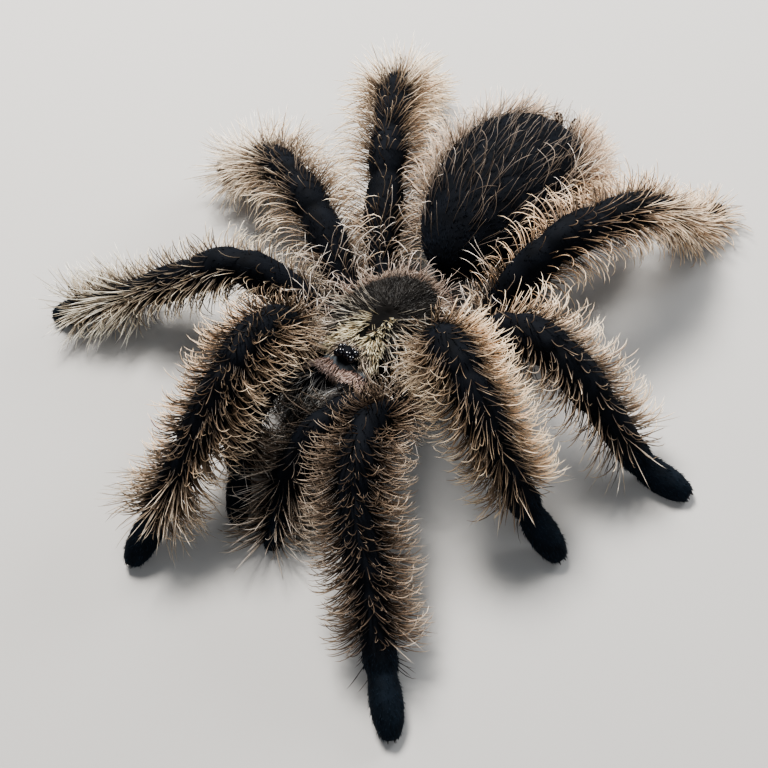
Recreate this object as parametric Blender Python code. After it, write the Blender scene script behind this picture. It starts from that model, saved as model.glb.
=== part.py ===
"""A curly-hair tarantula (Tliltocatl albopilosus, adult female) as a still, life-size museum model.

The animal crouches on the floor, head towards -Y, its left side towards +X and +Z up. Each named
piece is a closed solid out to the tips of its coat where the neighbours leave room. Sizes here are in
millimetres and degrees, and every mesh is scaled to metres when its object is made.
"""

import math
from dataclasses import dataclass

import bmesh
import bpy
from mathutils import Matrix, Vector
from mathutils.bvhtree import BVHTree
from mathutils.geometry import intersect_point_line

MM = 0.001
GAP = 0.30  # clearance between neighbouring pieces

# Body
LEG_ROOT_HEIGHT = 6.4  # centre of the leg roots above the floor
CARAPACE_LENGTH = 22.6
CARAPACE_WIDTH = 18.8
CARAPACE_MIDDLE = -1.7  # along Y
CARAPACE_FLOOR = 8.8  # underside of the carapace above the ground
CARAPACE_TOP = 13.2
HEAD_RISE = 1.2  # how much the head end is lifted
HEAD_TURN = 4.0  # degrees to the animal's left, of the carapace, the eyes and the jaws
HEAD_NARROWING = 0.24  # how much the head end is narrower than the rear
STERNUM_LENGTH = 11.0
STERNUM_WIDTH = 7.0
STERNUM_BOTTOM = 2.6
PEDICEL_RADIUS = 1.7
PEDICEL_HEIGHT = 7.0

# Abdomen: an egg whose narrow end meets the pedicel
ABDOMEN_LENGTH = 38.0
ABDOMEN_WIDTH = 27.6
ABDOMEN_DEPTH = 21.4
ABDOMEN_EGG = 0.13
ABDOMEN_FRONT = Vector((0.0, 11.6, 9.6))
ABDOMEN_LIFT = 7.0  # the tail end is raised
ABDOMEN_TURN = -3.0  # and swung a little to the animal's right
SPINNERET_LENGTH = 1.9
SPINNERET_RADIUS = 0.85
SPINNERET_SPREAD = 1.45

# Jaws
CHELICERA_LINE = ((2.95, -13.4, 8.4), (2.95, -15.6, 9.0), (2.95, -18.4, 8.0), (2.85, -20.4, 5.6), (2.7, -21.0, 4.3))
CHELICERA_RADII = (2.5, 2.75, 2.65, 2.1, 1.4)
FANG_LINE = ((2.7, -21.1, 3.4), (2.7, -20.6, 2.4), (2.6, -19.1, 1.5), (2.5, -17.0, 1.2))
FANG_RADII = (0.75, 0.65, 0.5, 0.3)

# Eyes: radius, and place on the tubercle, across and forwards
TUBERCLE_CENTRE = Vector((0.0, -11.0, 12.2))
TUBERCLE_SIZE = Vector((1.9, 1.45, 1.5))
EYES = ((0.42, 0.50, 0.62), (0.44, 1.30, 0.80), (0.38, 1.45, -0.30), (0.28, 0.85, -0.45))

# Limbs
THINNEST = 0.6  # the least radius of a limb
BEND_SHARE = 0.88  # a limb is never thicker than this share of its bend
TOE_RADIUS = 1.3
TOE_SINK = 0.4  # how much of the toe the flat on the floor cuts off
CORNER_SHARE = 0.45  # how far a joint's bend reaches into the shorter segment
CORNER_STEPS = 8
RING_SPACING = 2.2
LIMB_SIDES = 10
TANGENT_REACH = 0.8
PALP_GIRTH = 0.86

SEGMENTS = ("femur", "patella", "tibia", "metatarsus", "tarsus")
# Radius out to the coat at shares of each segment's length. The femur piece starts at the coxa.
GIRTH = {
    "femur": ((0.0, 1.9), (0.15, 2.6), (0.3, 3.0), (0.5, 4.2), (0.72, 5.3), (0.9, 4.9), (1.0, 4.5)),
    "patella": ((0.0, 4.5), (0.3, 4.9), (0.7, 5.2), (1.0, 5.0)),
    "tibia": ((0.0, 5.0), (0.3, 5.7), (0.7, 5.7), (1.0, 5.0)),
    "metatarsus": ((0.0, 5.0), (0.35, 4.9), (0.75, 4.1), (1.0, 3.2)),
    "tarsus": ((0.0, 3.0), (0.35, 2.9), (0.7, 2.7), (0.9, 2.3), (1.0, 1.3)),
}


@dataclass(frozen=True)
class Build:
    """A limb's build, the same on both sides: where its coxa starts and its femur starts, and its segments."""

    coxa: tuple
    root: tuple
    lengths: tuple


@dataclass(frozen=True)
class Limb:
    """One limb in its pose. Headings run from straight out (0) to straight ahead (90); climbs are above level."""

    name: str
    side: int
    build: Build
    headings: tuple  # of the femur, the tibia and the foot
    climbs: tuple  # of each segment but the last, which reaches down to the floor


PALP = Build((2.9, -7.2), (7.6, -12.4), (11.6, 7.0, 8.6, 8.6))
LEG_1 = Build((4.8, -4.6), (11.2, -9.2), (16.5, 10.4, 13.4, 11.0, 9.0))
LEG_2 = Build((5.6, -1.6), (13.6, -3.6), (15.8, 9.6, 11.2, 11.2, 8.5))
LEG_3 = Build((5.6, 1.6), (13.6, 3.0), (14.1, 8.5, 9.6, 12.2, 8.6))
LEG_4 = Build((4.8, 4.7), (11.4, 9.4), (17.0, 9.3, 13.0, 14.5, 9.0))
LEFT, RIGHT = 1, -1

LIMBS = (
    Limb("palp_right", RIGHT, PALP, (97, 113, 126), (29, -4, -52)),
    Limb("palp_left", LEFT, PALP, (92, 106, 58), (34, -24, -54)),
    Limb("leg_right_1", RIGHT, LEG_1, (109, 92, 88), (58, -3, -33, -37)),
    Limb("leg_left_1", LEFT, LEG_1, (75, 40, 43), (33, -14, -21, -24)),
    Limb("leg_right_2", RIGHT, LEG_2, (25, 30, 36), (39, -28, -25, -19)),
    Limb("leg_left_2", LEFT, LEG_2, (33, 24, 11), (80, 2, -38, -58)),
    Limb("leg_right_3", RIGHT, LEG_3, (-29, -15, -3), (27, 6, -5, -40)),
    Limb("leg_left_3", LEFT, LEG_3, (-10, 7, -2), (55, -2, -35, -55)),
    Limb("leg_right_4", RIGHT, LEG_4, (-55, -55, -56), (19, 17, 5, -50)),
    Limb("leg_left_4", LEFT, LEG_4, (-63, -76, -83), (46, 3, -20, -55)),
)


def heading(side, degrees, climb):
    """The unit direction of a limb's segment."""
    turn, rise = math.radians(degrees), math.radians(climb)
    return Vector((side * math.cos(turn) * math.cos(rise), -math.sin(turn) * math.cos(rise), math.sin(rise)))


def limb_joints(limb):
    """The limb's joints from the coxa to the toe. The last segment's climb puts the toe on the floor."""
    coxa = Vector((limb.side * limb.build.coxa[0], limb.build.coxa[1], LEG_ROOT_HEIGHT - 1.2))
    joint = Vector((limb.side * limb.build.root[0], limb.build.root[1], LEG_ROOT_HEIGHT))
    joints = [coxa, joint]
    femur, tibia, foot = limb.headings
    turns = (femur, (femur + tibia) / 2, tibia, foot)
    for length, turn, climb in zip(limb.build.lengths, turns, limb.climbs):
        joint = joint + length * heading(limb.side, turn, climb)
        joints.append(joint)
    reach = limb.build.lengths[-1]
    climb = 0.0
    for _ in range(6):
        toe_height = TOE_RADIUS * math.cos(climb) - TOE_SINK
        climb = math.asin(max(-1.0, (toe_height - joint.z) / reach))
    joints.append(joint + reach * heading(limb.side, foot, math.degrees(climb)))
    return joints


class CentreLine:
    """A line through joints with its corners rounded, read by the distance along it."""

    def __init__(self, joints):
        self.points = [joints[0]]
        corners = []
        for before, corner, after in zip(joints, joints[1:], joints[2:]):
            reach = CORNER_SHARE * min((corner - before).length, (after - corner).length)
            start = corner + (before - corner).normalized() * reach
            end = corner + (after - corner).normalized() * reach
            for step in range(CORNER_STEPS + 1):
                share = step / CORNER_STEPS
                self.points.append(start.lerp(corner, share).lerp(corner.lerp(end, share), share))
            corners.append(len(self.points) - 1 - CORNER_STEPS // 2)
        self.points.append(joints[-1])
        self.distances = [0.0]
        for here, there in zip(self.points, self.points[1:]):
            self.distances.append(self.distances[-1] + (there - here).length)
        self.corners = [self.distances[index] for index in corners]
        self.length = self.distances[-1]

    def at(self, distance):
        """The point this far along the line."""
        distance = max(0.0, min(self.length, distance))
        for index, far in enumerate(self.distances[1:]):
            if distance <= far:
                near = self.distances[index]
                return self.points[index].lerp(self.points[index + 1], (distance - near) / (far - near))
        return self.points[-1]

    def along(self, distance):
        """The line's direction this far along it."""
        return (self.at(distance + TANGENT_REACH) - self.at(distance - TANGENT_REACH)).normalized()

    def bend_radius(self, distance):
        """The radius of the line's bend this far along it."""
        distance = max(2 * TANGENT_REACH, min(self.length - 2 * TANGENT_REACH, distance))
        behind, ahead = self.along(distance - TANGENT_REACH), self.along(distance + TANGENT_REACH)
        return 2 * TANGENT_REACH / max(0.001, behind.angle(ahead))

    def nearest(self, point):
        """How near the line comes to a point."""
        best = math.inf
        for here, there in zip(self.points, self.points[1:]):
            foot, share = intersect_point_line(point, here, there)
            foot = here.lerp(there, max(0.0, min(1.0, share)))
            best = min(best, (foot - point).length)
        return best


def section(point, direction, across, radius):
    """The matrix that carries a flat unit circle to a limb's section."""
    across = (across - direction * across.dot(direction)).normalized()
    frame = Matrix((across, direction.cross(across), direction)).transposed().to_4x4()
    return Matrix.Translation(point) @ frame @ Matrix.Scale(radius, 4)


def loft(sections, sides):
    """A closed bar: a disc extruded from each section to the next."""
    bar = bmesh.new()
    bmesh.ops.create_circle(bar, cap_ends=True, segments=sides, radius=1.0, matrix=sections[0])
    end = list(bar.faces)
    for index, (here, there) in enumerate(zip(sections, sections[1:])):
        made = bmesh.ops.extrude_face_region(bar, geom=end)["geom"]
        if index > 0:
            bmesh.ops.delete(bar, geom=end, context="FACES_ONLY")
        moved = [item for item in made if isinstance(item, bmesh.types.BMVert)]
        bmesh.ops.transform(bar, matrix=there @ here.inverted(), verts=moved)
        end = [item for item in made if isinstance(item, bmesh.types.BMFace)]
    bmesh.ops.recalc_face_normals(bar, faces=bar.faces)
    return bar


def cut_flat(solid, height, keep_above):
    """Cuts a solid level and closes it with a flat face."""
    out = Vector((0.0, 0.0, -1.0 if keep_above else 1.0))
    if all((vert.co.z - height) * out.z < 0 for vert in solid.verts):
        return
    everything = [*solid.verts, *solid.edges, *solid.faces]
    cut = bmesh.ops.bisect_plane(
        solid, geom=everything, plane_co=(0, 0, height), plane_no=out, clear_outer=True, dist=0.0001
    )
    rim = [item for item in cut["geom_cut"] if isinstance(item, bmesh.types.BMEdge)]
    bmesh.ops.holes_fill(solid, edges=rim)
    bmesh.ops.recalc_face_normals(solid, faces=solid.faces)


def ball(rings, columns, centre, radii):
    """An ellipsoid with its poles on its long Y axis."""
    solid = bmesh.new()
    bmesh.ops.create_uvsphere(solid, u_segments=columns, v_segments=rings, radius=1.0)
    bmesh.ops.rotate(solid, verts=solid.verts, matrix=Matrix.Rotation(math.radians(90), 3, "X"))
    bmesh.ops.scale(solid, verts=solid.verts, vec=radii)
    bmesh.ops.translate(solid, verts=solid.verts, vec=centre)
    return solid


def material(name, colour, roughness):
    """A plain finish for a group of pieces."""
    made = bpy.data.materials.new(name)
    made.use_nodes = True
    shader = made.node_tree.nodes["Principled BSDF"]
    shader.inputs["Base Color"].default_value = (*colour, 1.0)
    shader.inputs["Roughness"].default_value = roughness
    shader.inputs["Metallic"].default_value = 0.0
    return made


def add_object(name, solid, finish):
    """Makes an object of a solid modelled in millimetres."""
    mesh = bpy.data.meshes.new(name)
    solid.to_mesh(mesh)
    mesh.transform(Matrix.Scale(MM, 4))
    mesh.materials.append(finish)
    mesh.shade_smooth()
    mesh.set_sharp_from_angle(angle=math.radians(50))
    made = bpy.data.objects.new(name, mesh)
    bpy.context.scene.collection.objects.link(made)
    return made


def carapace_solid():
    """The carapace: a low dome, broad behind and narrower at the head, with a flat underside."""
    half_height = CARAPACE_TOP - CARAPACE_FLOOR - 1.0
    centre = Vector((0.0, CARAPACE_MIDDLE, CARAPACE_TOP - half_height))
    solid = ball(12, 20, centre, (CARAPACE_WIDTH / 2, CARAPACE_LENGTH / 2, half_height))
    for vert in solid.verts:
        ahead = (CARAPACE_MIDDLE - vert.co.y) / (CARAPACE_LENGTH / 2)
        vert.co.x *= 1 - HEAD_NARROWING * max(0.0, ahead) ** 2
        vert.co.z += HEAD_RISE * max(0.0, ahead) * max(0.0, vert.co.z - centre.z) / half_height
    cut_flat(solid, CARAPACE_FLOOR, keep_above=True)
    return solid


def sternum_solid():
    """The breast plate and the core that carries the coxae, flat on top under the carapace."""
    top = CARAPACE_FLOOR - GAP
    centre = Vector((0.0, 0.0, (top + STERNUM_BOTTOM) / 2))
    depth = top - STERNUM_BOTTOM
    solid = ball(8, 14, centre, (STERNUM_WIDTH / 2, STERNUM_LENGTH / 2, depth * 0.6))
    cut_flat(solid, top, keep_above=False)
    cut_flat(solid, STERNUM_BOTTOM, keep_above=True)
    return solid


def abdomen_place():
    """The matrix that sets the abdomen, modelled along +Y from its front end, on the pedicel."""
    turn = Matrix.Rotation(math.radians(-ABDOMEN_TURN), 4, "Z")
    lift = Matrix.Rotation(math.radians(ABDOMEN_LIFT), 4, "X")
    return Matrix.Translation(ABDOMEN_FRONT) @ turn @ lift


def abdomen_solid():
    """The abdomen: an egg with its broad end behind."""
    centre = Vector((0.0, ABDOMEN_LENGTH / 2, 0.0))
    solid = ball(14, 20, centre, (ABDOMEN_WIDTH / 2, ABDOMEN_LENGTH / 2, ABDOMEN_DEPTH / 2))
    for vert in solid.verts:
        back = (vert.co.y - centre.y) / (ABDOMEN_LENGTH / 2)
        swell = 1 + ABDOMEN_EGG * (back - 0.3)
        vert.co.x *= swell
        vert.co.z *= swell
    bmesh.ops.transform(solid, matrix=abdomen_place(), verts=solid.verts)
    return solid


def bar_solid(points, radii, sides, side=1):
    """A tapering bar through points given for the left side."""
    points = [Vector((side * x, y, z)) for x, y, z in points]
    sections = []
    for index, (point, radius) in enumerate(zip(points, radii)):
        ahead = points[min(index + 1, len(points) - 1)]
        behind = points[max(index - 1, 0)]
        sections.append(section(point, (ahead - behind).normalized(), Vector((1.0, 0.0, 0.0)), radius))
    return loft(sections, sides)


def spinneret_solid(side):
    """One of the two spinnerets, a short blunt tube that stands up behind the abdomen's end."""
    start = Vector((side * SPINNERET_SPREAD, ABDOMEN_LENGTH + SPINNERET_RADIUS, -1.7))
    step = Vector((side * 0.3, 0.15, 0.95)).normalized() * SPINNERET_LENGTH / 3
    radii = (SPINNERET_RADIUS, SPINNERET_RADIUS, SPINNERET_RADIUS * 0.9, SPINNERET_RADIUS * 0.75)
    place = abdomen_place()
    points = [place @ (start + step * index) for index in range(len(radii))]
    return bar_solid(points, radii, 8)


def pedicel_solid():
    """The waist between the breast plate and the abdomen."""
    front = STERNUM_LENGTH / 2 + 0.6
    back = ABDOMEN_FRONT.y - 0.2
    middle = (front + back) / 2
    points = ((0, front, PEDICEL_HEIGHT), (0, middle, PEDICEL_HEIGHT), (0, back, PEDICEL_HEIGHT + 0.3))
    return bar_solid(points, (PEDICEL_RADIUS, PEDICEL_RADIUS * 0.85, PEDICEL_RADIUS), 12)


def turn_head(solid):
    """Turns a solid with the head."""
    bmesh.ops.rotate(solid, verts=solid.verts, matrix=Matrix.Rotation(math.radians(HEAD_TURN), 3, "Z"))
    return solid


def union_or_cut(name, solid, others, operation, finish):
    """An object with other solids joined to it, or cut from it, by Booleans that stay on it."""
    made = add_object(name, solid, finish)
    for index, other in enumerate(others):
        tool = add_object(f"{name}_tool_{index}", other, finish)
        tool.hide_render = True
        tool.display_type = "WIRE"
        boolean = made.modifiers.new(f"{operation} {index}", "BOOLEAN")
        boolean.operation = operation
        boolean.object = tool
        boolean.solver = "EXACT"
    return made


def eye_solids():
    """Eight eyes in two rows on the tubercle, as small balls half sunk in it."""
    found = []
    for side in (LEFT, RIGHT):
        for radius, across, forwards in EYES:
            x, y = side * across, -forwards
            share = (x / TUBERCLE_SIZE.x) ** 2 + (y / TUBERCLE_SIZE.y) ** 2
            rise = TUBERCLE_SIZE.z * math.sqrt(max(0.0, 1 - share))
            found.append(ball(6, 8, TUBERCLE_CENTRE + Vector((x, y, rise)), (radius, radius, radius)))
    return found


def limb_radius(kind, share):
    """The coated radius of a segment at a share of its length."""
    stations = GIRTH[kind]
    for (near, thin), (far, thick) in zip(stations, stations[1:]):
        if share <= far:
            return thin + (thick - thin) * (share - near) / (far - near)
    return stations[-1][1]


class Clearance:
    """How thick a limb may be at a point: half way to the next limb's line, and up to the body's pieces."""

    def __init__(self, lines, body_solids):
        self.lines = lines
        self.trees = [BVHTree.FromBMesh(solid) for solid in body_solids]

    def radius(self, name, point):
        """The most that the named limb may measure from its line here."""
        room = math.inf
        for other, line in self.lines.items():
            if other != name:
                room = min(room, (line.nearest(point) - GAP) / 2)
        for tree in self.trees:
            room = min(room, tree.find_nearest(point)[3] - GAP)
        return max(room, THINNEST)


def limb_solids(limb, line, clearance):
    """The limb's segments, parted across each joint by the gap."""
    girth = PALP_GIRTH if limb.build is PALP else 1.0
    kinds = [*SEGMENTS[: len(limb.build.lengths) - 1], SEGMENTS[-1]]
    outwards = line.at(line.length) - line.at(0.0)
    across = outwards.cross(Vector((0.0, 0.0, 1.0))).normalized()
    bounds = [0.0, *line.corners[1:], line.length]
    for kind, start, end in zip(kinds, bounds, bounds[1:]):
        count = max(4, round((end - start) / RING_SPACING))
        sections = []
        for index in range(count + 1):
            distance = start + (end - start) * index / count
            point, direction = line.at(distance), line.along(distance)
            radius = girth * limb_radius(kind, index / count)
            bend = min(line.bend_radius(distance + step) for step in (-RING_SPACING, 0.0, RING_SPACING))
            radius = min(radius, clearance.radius(limb.name, point), BEND_SHARE * bend)
            if index == 0 and start > 0.0:
                point = point + direction * GAP / 2
            elif index == count and end < line.length:
                point = point - direction * GAP / 2
            sections.append(section(point, direction, across, radius))
        solid = loft(sections, LIMB_SIDES)
        cut_flat(solid, 0.0, keep_above=True)
        yield kind, solid


def stand_on_origin(pieces):
    """Moves the whole animal so that the middle of its box's underside is the origin."""
    corners = [vert.co for piece in pieces for vert in piece.data.vertices if not piece.hide_render]
    middle = Vector()
    for axis in (0, 1):
        middle[axis] = (min(co[axis] for co in corners) + max(co[axis] for co in corners)) / 2
    for piece in pieces:
        piece.data.transform(Matrix.Translation(-middle))


def main():
    """Builds every piece of the tarantula."""
    for old in list(bpy.data.objects):
        bpy.data.objects.remove(old)
    black = material("black coat", (0.030, 0.028, 0.034), 0.75)
    mat = material("carapace mat", (0.30, 0.23, 0.15), 0.8)
    glossy = material("eyes", (0.010, 0.010, 0.014), 0.12)
    horn = material("fang", (0.035, 0.020, 0.018), 0.25)

    carapace = turn_head(carapace_solid())
    jaws = {side: turn_head(bar_solid(CHELICERA_LINE, CHELICERA_RADII, 12, side)) for side in (LEFT, RIGHT)}
    fangs = {side: turn_head(bar_solid(FANG_LINE, FANG_RADII, 8, side)) for side in (LEFT, RIGHT)}
    sternum, pedicel, abdomen = sternum_solid(), pedicel_solid(), abdomen_solid()
    lines = {limb.name: CentreLine(limb_joints(limb)) for limb in LIMBS}
    clearance = Clearance(lines, [carapace, sternum, pedicel, abdomen, *jaws.values(), *fangs.values()])

    socket = turn_head(ball(8, 14, TUBERCLE_CENTRE, [size + GAP for size in TUBERCLE_SIZE]))
    union_or_cut("carapace", carapace, [socket], "DIFFERENCE", mat)
    tubercle = turn_head(ball(8, 14, TUBERCLE_CENTRE, TUBERCLE_SIZE))
    union_or_cut("eye_tubercle", tubercle, [turn_head(eye) for eye in eye_solids()], "UNION", glossy)
    add_object("sternum", sternum, black)
    add_object("pedicel", pedicel, black)
    add_object("abdomen", abdomen, black)
    for side, word in ((LEFT, "left"), (RIGHT, "right")):
        add_object(f"chelicera_{word}", jaws[side], black)
        add_object(f"fang_{word}", fangs[side], horn)
        add_object(f"spinneret_{word}", spinneret_solid(side), black)
    for limb in LIMBS:
        for kind, solid in limb_solids(limb, lines[limb.name], clearance):
            add_object(f"{limb.name}_{kind}", solid, black)
    stand_on_origin(list(bpy.data.objects))


main()
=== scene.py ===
"""A curly-hair tarantula as a still, life-size museum model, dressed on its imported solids.

One skin is drawn over the whole body, inside the solids by the coat's depth. The coat is solid hairs,
rooted in the skin and lying as they do on the living animal: long curly tan hairs on the legs and the
abdomen, a golden mat on the carapace, grey bristles on the jaws and a short velvet on limbs, feet and
abdomen. Eyes, fangs and claws are pieces of their own. Sizes are in millimetres and degrees until a mesh
is finished. Arrays of turns round a part are in radians.
"""

import logging
import math
from collections.abc import Callable, Iterable
from dataclasses import dataclass
from enum import Enum

import bmesh  # noqa: E402
import bpy  # noqa: E402
import numpy as np  # noqa: E402
from mathutils import Matrix, Vector  # noqa: E402
from mathutils.bvhtree import BVHTree  # noqa: E402

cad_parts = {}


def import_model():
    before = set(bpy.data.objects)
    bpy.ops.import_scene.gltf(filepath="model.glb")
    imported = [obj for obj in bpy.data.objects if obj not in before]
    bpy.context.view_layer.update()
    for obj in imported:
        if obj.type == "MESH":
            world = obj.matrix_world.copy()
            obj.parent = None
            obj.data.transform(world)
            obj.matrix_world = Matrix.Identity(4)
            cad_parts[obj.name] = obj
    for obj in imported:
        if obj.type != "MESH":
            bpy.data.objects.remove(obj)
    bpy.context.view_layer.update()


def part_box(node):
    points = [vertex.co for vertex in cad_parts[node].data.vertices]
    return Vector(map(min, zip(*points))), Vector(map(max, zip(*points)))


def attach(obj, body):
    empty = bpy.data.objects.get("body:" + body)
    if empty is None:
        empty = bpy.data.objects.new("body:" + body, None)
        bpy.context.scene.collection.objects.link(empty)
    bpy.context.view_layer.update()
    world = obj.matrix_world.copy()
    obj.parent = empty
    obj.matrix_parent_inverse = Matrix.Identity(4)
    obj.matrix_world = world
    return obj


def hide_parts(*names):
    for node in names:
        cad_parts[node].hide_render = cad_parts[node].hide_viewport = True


Array = np.ndarray
Colour = tuple[float, float, float]
Tones = tuple[Colour, Colour, Colour]  # at a hair's root, its middle and its tip
Place = tuple[float, float, float]
Range = tuple[float, float]
Stations = tuple[tuple[float, float], ...]  # shares of a length with the radius there
LOG = logging.getLogger("tarantula")
MM = 0.001
ROOT = "root"
TONE = "tone"
ACROSS = np.array((1.0, 0.0, 0.0))
UP = np.array((0.0, 0.0, 1.0))


class Side(Enum):
    """The animal's two sides, as the sign of X."""

    LEFT = 1
    RIGHT = -1


class Segment(Enum):
    """The segments of a limb, from the body outwards. The femur's part starts at the coxa."""

    FEMUR = "femur"
    PATELLA = "patella"
    TIBIA = "tibia"
    METATARSUS = "metatarsus"
    TARSUS = "tarsus"


class Slot(Enum):
    """Names of material slots."""

    COAT = "coat"
    FOOT = "foot"
    CARAPACE = "carapace"
    EYES = "eyes"
    FANG = "fang"


# ----- Vectors in rows -----


def unit(vectors: Array) -> Array:
    """Each row at length one."""
    return vectors / np.maximum(np.linalg.norm(vectors, axis=-1, keepdims=True), 1e-9)


def turned(vectors: Array, axes: Array, angles: Array) -> Array:
    """Turns each row about its own axis.

    Args:
        vectors: The rows to turn.
        axes: A unit axis for each row.
        angles: A turn for each row, in radians.

    Returns:
        The turned rows.
    """
    cosine, sine = np.cos(angles)[:, None], np.sin(angles)[:, None]
    along = np.sum(axes * vectors, axis=1, keepdims=True) * axes
    return along + (vectors - along) * cosine + np.cross(axes, vectors) * sine


def square(vectors: Array, axes: Array) -> Array:
    """Each row brought to right angles to its own axis, at length one."""
    return unit(vectors - axes * np.sum(vectors * axes, axis=1, keepdims=True))


def bell(distances: Array, width: float) -> Array:
    """A smooth hump: 1 at nothing and almost 0 two widths away."""
    return np.exp(-((distances / width) ** 2))


def heading(side: int, degrees: float, climb: float) -> Array:
    """The unit direction of a limb's segment.

    Args:
        side: +1 for the animal's left and -1 for its right.
        degrees: From straight out (0) to straight ahead (90).
        climb: Above level.

    Returns:
        The direction.
    """
    turn, rise = math.radians(degrees), math.radians(climb)
    level = math.cos(rise)
    return np.array((side * math.cos(turn) * level, -math.sin(turn) * level, math.sin(rise)))


# ----- The pose, as the solids have it -----


@dataclass(frozen=True)
class Build:
    """A limb's build on both sides: where its coxa and its femur start, and its segments' lengths."""

    coxa: tuple[float, float]
    root: tuple[float, float]
    lengths: tuple[float, ...]


@dataclass(frozen=True)
class Limb:
    """One limb in its pose."""

    name: str
    side: Side
    build: Build
    headings: tuple[float, float, float]  # of the femur, the tibia and the foot
    climbs: tuple[float, ...]  # of all segments but the foot, which reaches for the floor

    @property
    def is_palp(self) -> bool:
        """Whether this is a palp, which has no metatarsus."""
        return len(self.build.lengths) == 4

    @property
    def segments(self) -> list[Segment]:
        """The limb's segments in order."""
        return [kind for kind in Segment if not (self.is_palp and kind is Segment.METATARSUS)]

    @property
    def nodes(self) -> list[str]:
        """The limb's solids."""
        return [f"{self.name}_{kind.value}" for kind in self.segments]


LEG_ROOT_HEIGHT = 6.4
COXA_DROP = 1.2
TOE_RADIUS = 1.3
TOE_SINK = 0.4
TOE_ROUNDS = 6  # of finding the foot's slope and the toe's height from each other
CORNER_SHARE = 0.45
CORNER_STEPS = 8
TANGENT_REACH = 0.8
HEAD_TURN = 4.0  # of the carapace, the eyes and the jaws, to the animal's left
HEAD_MATRIX = Matrix.Rotation(math.radians(HEAD_TURN), 3, "Z")
TUBERCLE_CENTRE = np.array((0.0, -11.0, 12.2))  # the eyes' mound, in the head's own frame

PALP = Build((2.9, -7.2), (7.6, -12.4), (11.6, 7.0, 8.6, 8.6))
LEG_1 = Build((4.8, -4.6), (11.2, -9.2), (16.5, 10.4, 13.4, 11.0, 9.0))
LEG_2 = Build((5.6, -1.6), (13.6, -3.6), (15.8, 9.6, 11.2, 11.2, 8.5))
LEG_3 = Build((5.6, 1.6), (13.6, 3.0), (14.1, 8.5, 9.6, 12.2, 8.6))
LEG_4 = Build((4.8, 4.7), (11.4, 9.4), (17.0, 9.3, 13.0, 14.5, 9.0))

LIMBS = (
    Limb("palp_right", Side.RIGHT, PALP, (97, 113, 126), (29, -4, -52)),
    Limb("palp_left", Side.LEFT, PALP, (92, 106, 58), (34, -24, -54)),
    Limb("leg_right_1", Side.RIGHT, LEG_1, (109, 92, 88), (58, -3, -33, -37)),
    Limb("leg_left_1", Side.LEFT, LEG_1, (75, 40, 43), (33, -14, -21, -24)),
    Limb("leg_right_2", Side.RIGHT, LEG_2, (25, 30, 36), (39, -28, -25, -19)),
    Limb("leg_left_2", Side.LEFT, LEG_2, (33, 24, 11), (80, 2, -38, -58)),
    Limb("leg_right_3", Side.RIGHT, LEG_3, (-29, -15, -3), (27, 6, -5, -40)),
    Limb("leg_left_3", Side.LEFT, LEG_3, (-10, 7, -2), (55, -2, -35, -55)),
    Limb("leg_right_4", Side.RIGHT, LEG_4, (-55, -55, -56), (19, 17, 5, -50)),
    Limb("leg_left_4", Side.LEFT, LEG_4, (-63, -76, -83), (46, 3, -20, -55)),
)


def from_head(points: Array | Place) -> Array:
    """Rows in the head's own frame, turned with it into the body's."""
    return np.asarray(points) @ np.array(HEAD_MATRIX).T


def to_head(points: Array) -> Array:
    """Rows in the body's frame, turned back into the head's own."""
    return np.asarray(points) @ np.array(HEAD_MATRIX)


def body_shift() -> Array:
    """How far the solids' frame is from the body's own, read from the middle of the breast plate."""
    low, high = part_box("sternum")
    return np.array(((low[0] + high[0]) / 2, (low[1] + high[1]) / 2, 0.0)) / MM


class CentreLine:
    """A line through joints with its corners rounded, read by the distance along it."""

    def __init__(self, joints: list[Array]) -> None:
        """Rounds the corners of a chain of joints.

        Args:
            joints: The chain's points in order.
        """
        points = [joints[0]]
        corners = []
        for before, corner, after in zip(joints, joints[1:], joints[2:]):
            reach = CORNER_SHARE * min(np.linalg.norm(corner - before), np.linalg.norm(after - corner))
            start = corner + unit(before - corner) * reach
            end = corner + unit(after - corner) * reach
            for step in range(CORNER_STEPS + 1):
                share = step / CORNER_STEPS
                points.append(start * (1 - share) ** 2 + corner * 2 * share * (1 - share) + end * share**2)
            corners.append(len(points) - 1 - CORNER_STEPS // 2)
        points.append(joints[-1])
        self.points = np.array(points)
        steps = np.linalg.norm(np.diff(self.points, axis=0), axis=1)
        self.distances = np.concatenate(((0.0,), np.cumsum(steps)))
        self.corners = [float(self.distances[index]) for index in corners]
        self.length = float(self.distances[-1])

    def at(self, distances: Array) -> Array:
        """The points this far along the line."""
        axes = [np.interp(distances, self.distances, self.points[:, axis]) for axis in range(3)]
        return np.stack(axes, axis=-1)

    def along(self, distances: Array) -> Array:
        """The line's directions this far along it."""
        return unit(self.at(distances + TANGENT_REACH) - self.at(distances - TANGENT_REACH))

    def gaps(self, points: Array, count: int, start: float = 0.0) -> tuple[Array, Array, Array]:
        """How far points are from the line.

        Args:
            points: The points.
            count: How many stops of the line are measured from.
            start: The share of the line that comes before the first stop.

        Returns:
            The stops' distances along the line, the nearest stop of each point, and the gap to it.
        """
        stops = np.linspace(self.length * start, self.length, count)
        gaps = np.linalg.norm(points[:, None] - self.at(stops)[None], axis=2)
        return stops, gaps.argmin(axis=1), gaps.min(axis=1)


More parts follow.
